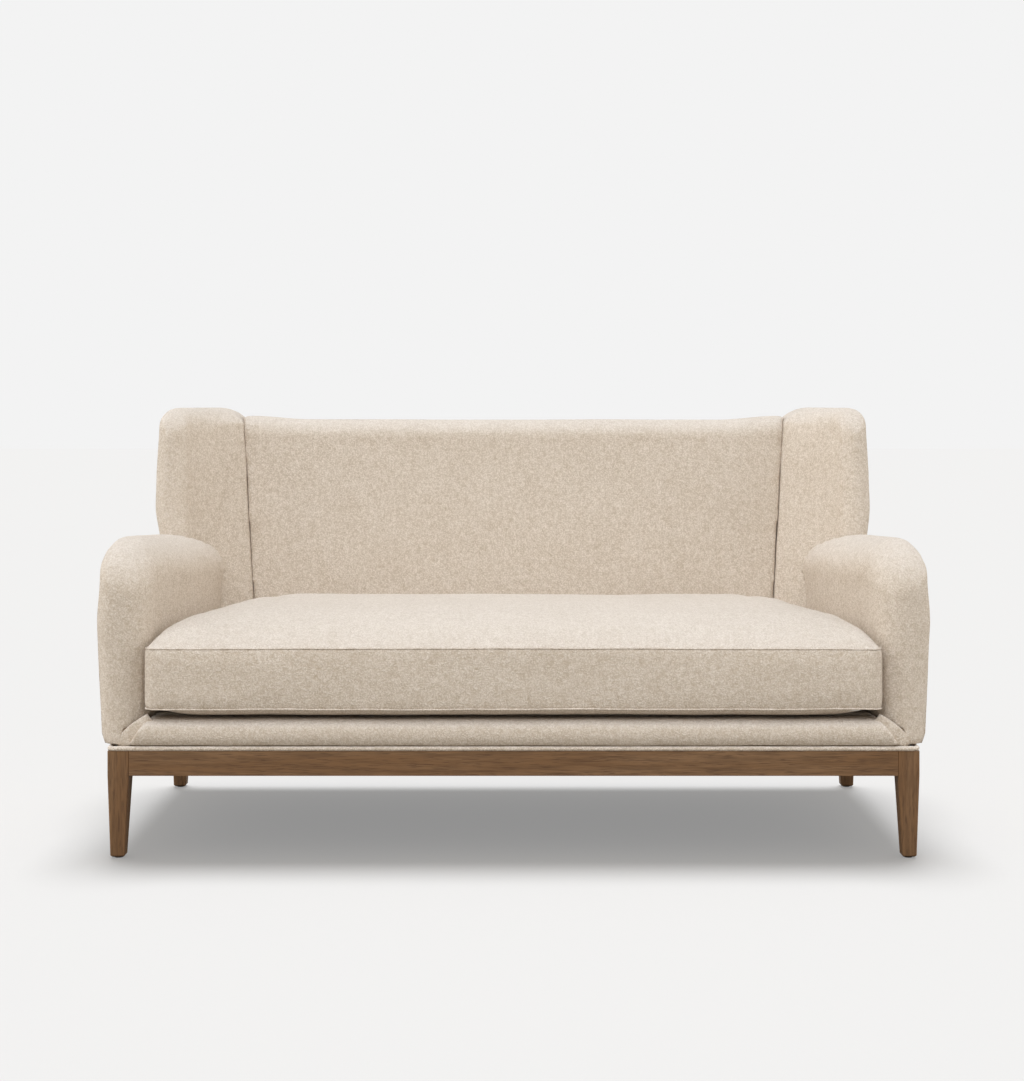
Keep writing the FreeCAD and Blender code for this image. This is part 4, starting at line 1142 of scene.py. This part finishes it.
def makeDustSheet():
    # thin cloth stapled under the rails, hanging slightly between them
    v = dustSheet
    low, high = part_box("dust_cover")
    xs = np.linspace(low[0], high[0], int((high[0] - low[0]) / v["spacing"]) + 1)
    ys = np.linspace(low[1], high[1], int((high[1] - low[1]) / v["spacing"]) + 1)
    points, faces = [], []
    for y in ys:
        for x in xs:
            inside = min(x - low[0], high[0] - x, y - low[1], high[1] - y)
            fall = v["sag"] * float(rise(inside, *v["sagFrom"]))
            wave = math.sin((x if abs(y) > 0.3 else y) * v["puckerPace"])
            pucker = v["pucker"] * wave * (1 - float(rise(inside, 0.0, v["puckerTo"])))
            points.append((x, y, low[2] + 0.0003 - fall + min(pucker, 0.0)))
    wide = len(xs)
    for r in range(len(ys) - 1):
        for c in range(wide - 1):
            a = r * wide + c
            faces.append((a, a + wide, a + wide + 1, a + 1))
    sheet = newPiece("dustSheet", points, faces, dustCloth)
    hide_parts("dust_cover")
    length, width, height = v["staple"]
    points, faces = [], []
    # start, end, level across and whether the row runs front to back
    edges = ((low[0], high[0], low[1] + v["hem"], 0), (low[0], high[0], high[1] - v["hem"], 0),
             (low[1], high[1], low[0] + v["hem"], 1), (low[1], high[1], high[0] - v["hem"], 1))
    draw = random.Random(8)
    (before, after), (shift, sideways) = v["stapleEnds"], v["stapleShift"]
    for start, end, row, turned in edges:
        for place in np.arange(start + before, end - after, v["stapleEvery"]):
            centre = np.array([place + draw.uniform(-shift, shift), row + draw.uniform(-sideways, sideways)])
            lean = draw.uniform(-v["stapleLean"], v["stapleLean"])
            base = len(points)
            # a flat bar with its two ends bent up into the rail
            for t, rises in ((-0.5, 1), (-0.46, 0), (0.46, 0), (0.5, 1)):
                for side in (-0.5, 0.5):
                    for layer in (0, 1):
                        along = np.array([math.cos(lean), math.sin(lean)]) * length * t
                        across = np.array([-math.sin(lean), math.cos(lean)]) * width * side
                        spot = centre + along + across
                        spot = spot[::-1] if turned else spot
                        level = low[2] - 0.0008 + rises * 0.0012 + layer * height * 0.5
                        points.append((spot[0], spot[1], level))
            for step in range(3):
                a, b = base + step * 4, base + step * 4 + 4
                for q, r in ((0, 1), (1, 3), (3, 2), (2, 0)):
                    faces.append((a + q, a + r, b + r, b + q))
            faces.append((base, base + 2, base + 3, base + 1))
            faces.append((base + 12, base + 13, base + 15, base + 14))
    staples = newPiece("dustStaples", points, faces, glideMetal)
    fixNormals(staples)


makeDustSheet()


# finishes of the nodes that show as they are

def bothSides(*starts):
    return [start + side for start in starts for side in ("right", "left")]


finishes = [
    (oakAlong["z"], bothSides("leg_front_", "leg_rear_")),
    (oakAlong["x"], ["apron_front", "apron_rear"]),
    (oakAlong["y"], bothSides("apron_side_")),
    (pineAlong["x"], ["base_corner_braces", "seat_rail_front", "seat_rail_rear", "frame_corner_blocks",
                      "back_top_rail", "back_lower_rail"]),
    (pineAlong["y"], ["seat_stretcher"] + bothSides("seat_rail_side_", "arm_rail_")),
    (pineAlong["z"], ["back_upright"] + bothSides("arm_post_", "back_post_")),
    (plywood, bothSides("wing_board_")),
    (steel, ["base_screws"]),
    (glideMetal, ["leg_glides"]),
    (webbing, ["seat_webbing_long", "seat_webbing_cross", "back_webbing"]),
    (wrapFibre, ["cushion_wrap"]),
    (foam, ["cushion_core"]),
    (zipTape, ["cushion_zip"]),
    (zipMetal, ["zip_slider"]),
]
for finish, names in finishes:
    for nodeName in names:
        for materialSlot in nodes[nodeName].material_slots:
            materialSlot.material = finish
print("finishes placed")


# floor, light and camera

studio = {
    "backdrop": linear(243, 243, 243),
    "floor": (0.715, 0.722, 0.732, 1.0),
    "floorAway": (0.44, 0.425, 0.4, 1.0),
    "floorSeenShare": 0.3,
    "floorHalf": 40.0,
    "worldStrength": 0.34,
    "worldColour": (1.0, 0.935, 0.845, 1.0),
}
suns = {
    # strength, tilt from straight down, turn, spread, colour, what it lights
    "floorSun": (2.93, -14, 0, 26, (1.0, 1.0, 1.0), "floor"),
    "keySun": (2.02, 35, -14, 60, (0.95, 1.0, 1.07), "object"),
    "topSun": (0.3, 4, 0, 60, (0.92, 1.0, 1.12), "object"),
    "leftSun": (1.6, 74, -90, 60, (0.98, 1.0, 1.02), "object"),
    "rightSun": (1.44, 74, 90, 60, (0.98, 1.0, 1.02), "object"),
}


def makeFloor():
    half = studio["floorHalf"]
    mesh = bpy.data.meshes.new("studioFloor")
    corners = [(-half, -half, 0), (half, -half, 0), (half, half, 0), (-half, half, 0)]
    mesh.from_pydata(corners, [], [(0, 1, 2, 3)])
    floor = placed("studioFloor", mesh)
    material, tree, shader = newMaterial("studioFloor")
    glow = addNode(tree, "ShaderNodeEmission", None, {"Color": studio["backdrop"], "Strength": 1.0})
    rays = tree.nodes.new("ShaderNodeLightPath").outputs
    colour = blendColour(tree, rays["Is Camera Ray"], studio["floorAway"], studio["floor"])
    feed(tree, shader, {"Base Color": colour, "Roughness": 0.9, "Specular IOR Level": 0.0})
    share = calc(tree, "MULTIPLY", rays["Is Camera Ray"], studio["floorSeenShare"])
    mix = addNode(tree, "ShaderNodeMixShader", None, {0: share, 1: shader.outputs[0], 2: glow.outputs[0]})
    tree.links.new(mix.outputs[0], tree.nodes["Material Output"].inputs["Surface"])
    mesh.materials.append(material)
    return floor


def makeSuns(floor):
    # one sun lights the floor alone, the others light everything but the floor
    lit = {"floor": bpy.data.collections.new("litFloor"), "object": bpy.data.collections.new("litObject")}
    lit["floor"].objects.link(floor)
    lit["object"].objects.link(floor)
    lit["object"].collection_objects[0].light_linking.link_state = "EXCLUDE"
    for name, (strength, tilt, turn, spread, colour, target) in suns.items():
        lamp = bpy.data.lights.new(name, "SUN")
        lamp.energy = strength
        lamp.angle = math.radians(spread)
        lamp.color = colour
        sun = placed(name, lamp)
        sun.rotation_euler = (math.radians(tilt), 0, math.radians(turn))
        sun.light_linking.receiver_collection = lit[target]


def makeWorld():
    world = bpy.data.worlds.new("studio")
    scene.world = world
    world.use_nodes = True
    tree = world.node_tree
    tree.nodes.clear()
    rays = tree.nodes.new("ShaderNodeLightPath").outputs
    mirrorRays = calc(tree, "MAXIMUM", rays["Is Glossy Ray"], rays["Is Transmission Ray"])
    seen = calc(tree, "MAXIMUM", rays["Is Camera Ray"], mirrorRays)
    plain = {"Color": studio["worldColour"], "Strength": studio["worldStrength"]}
    light = addNode(tree, "ShaderNodeBackground", None, plain)
    shown = addNode(tree, "ShaderNodeBackground", None, {"Color": studio["backdrop"], "Strength": 1.0})
    mix = addNode(tree, "ShaderNodeMixShader", None, {0: seen, 1: light.outputs[0], 2: shown.outputs[0]})
    out = tree.nodes.new("ShaderNodeOutputWorld")
    tree.links.new(mix.outputs[0], out.inputs["Surface"])


photoCamera = {
    # sensor and lens in mm; the camera stands level, 4 m before the front legs
    "sensor": 36.0,
    "lens": 62.2,
    "shift": (-0.0014, -0.1226),
    "place": (0.0, -4.4194, 0.966),
}


def makeCamera():
    lens = bpy.data.cameras.new("photoCamera")
    lens.sensor_width = photoCamera["sensor"]
    lens.lens = photoCamera["lens"]
    lens.shift_x, lens.shift_y = photoCamera["shift"]
    scene.camera = placed("photoCamera", lens)
    scene.camera.location = photoCamera["place"]
    scene.camera.rotation_euler = (math.radians(90), 0, 0)


makeSuns(makeFloor())
makeWorld()
makeCamera()
scene.view_settings.view_transform = "Standard"
print("studio ready")
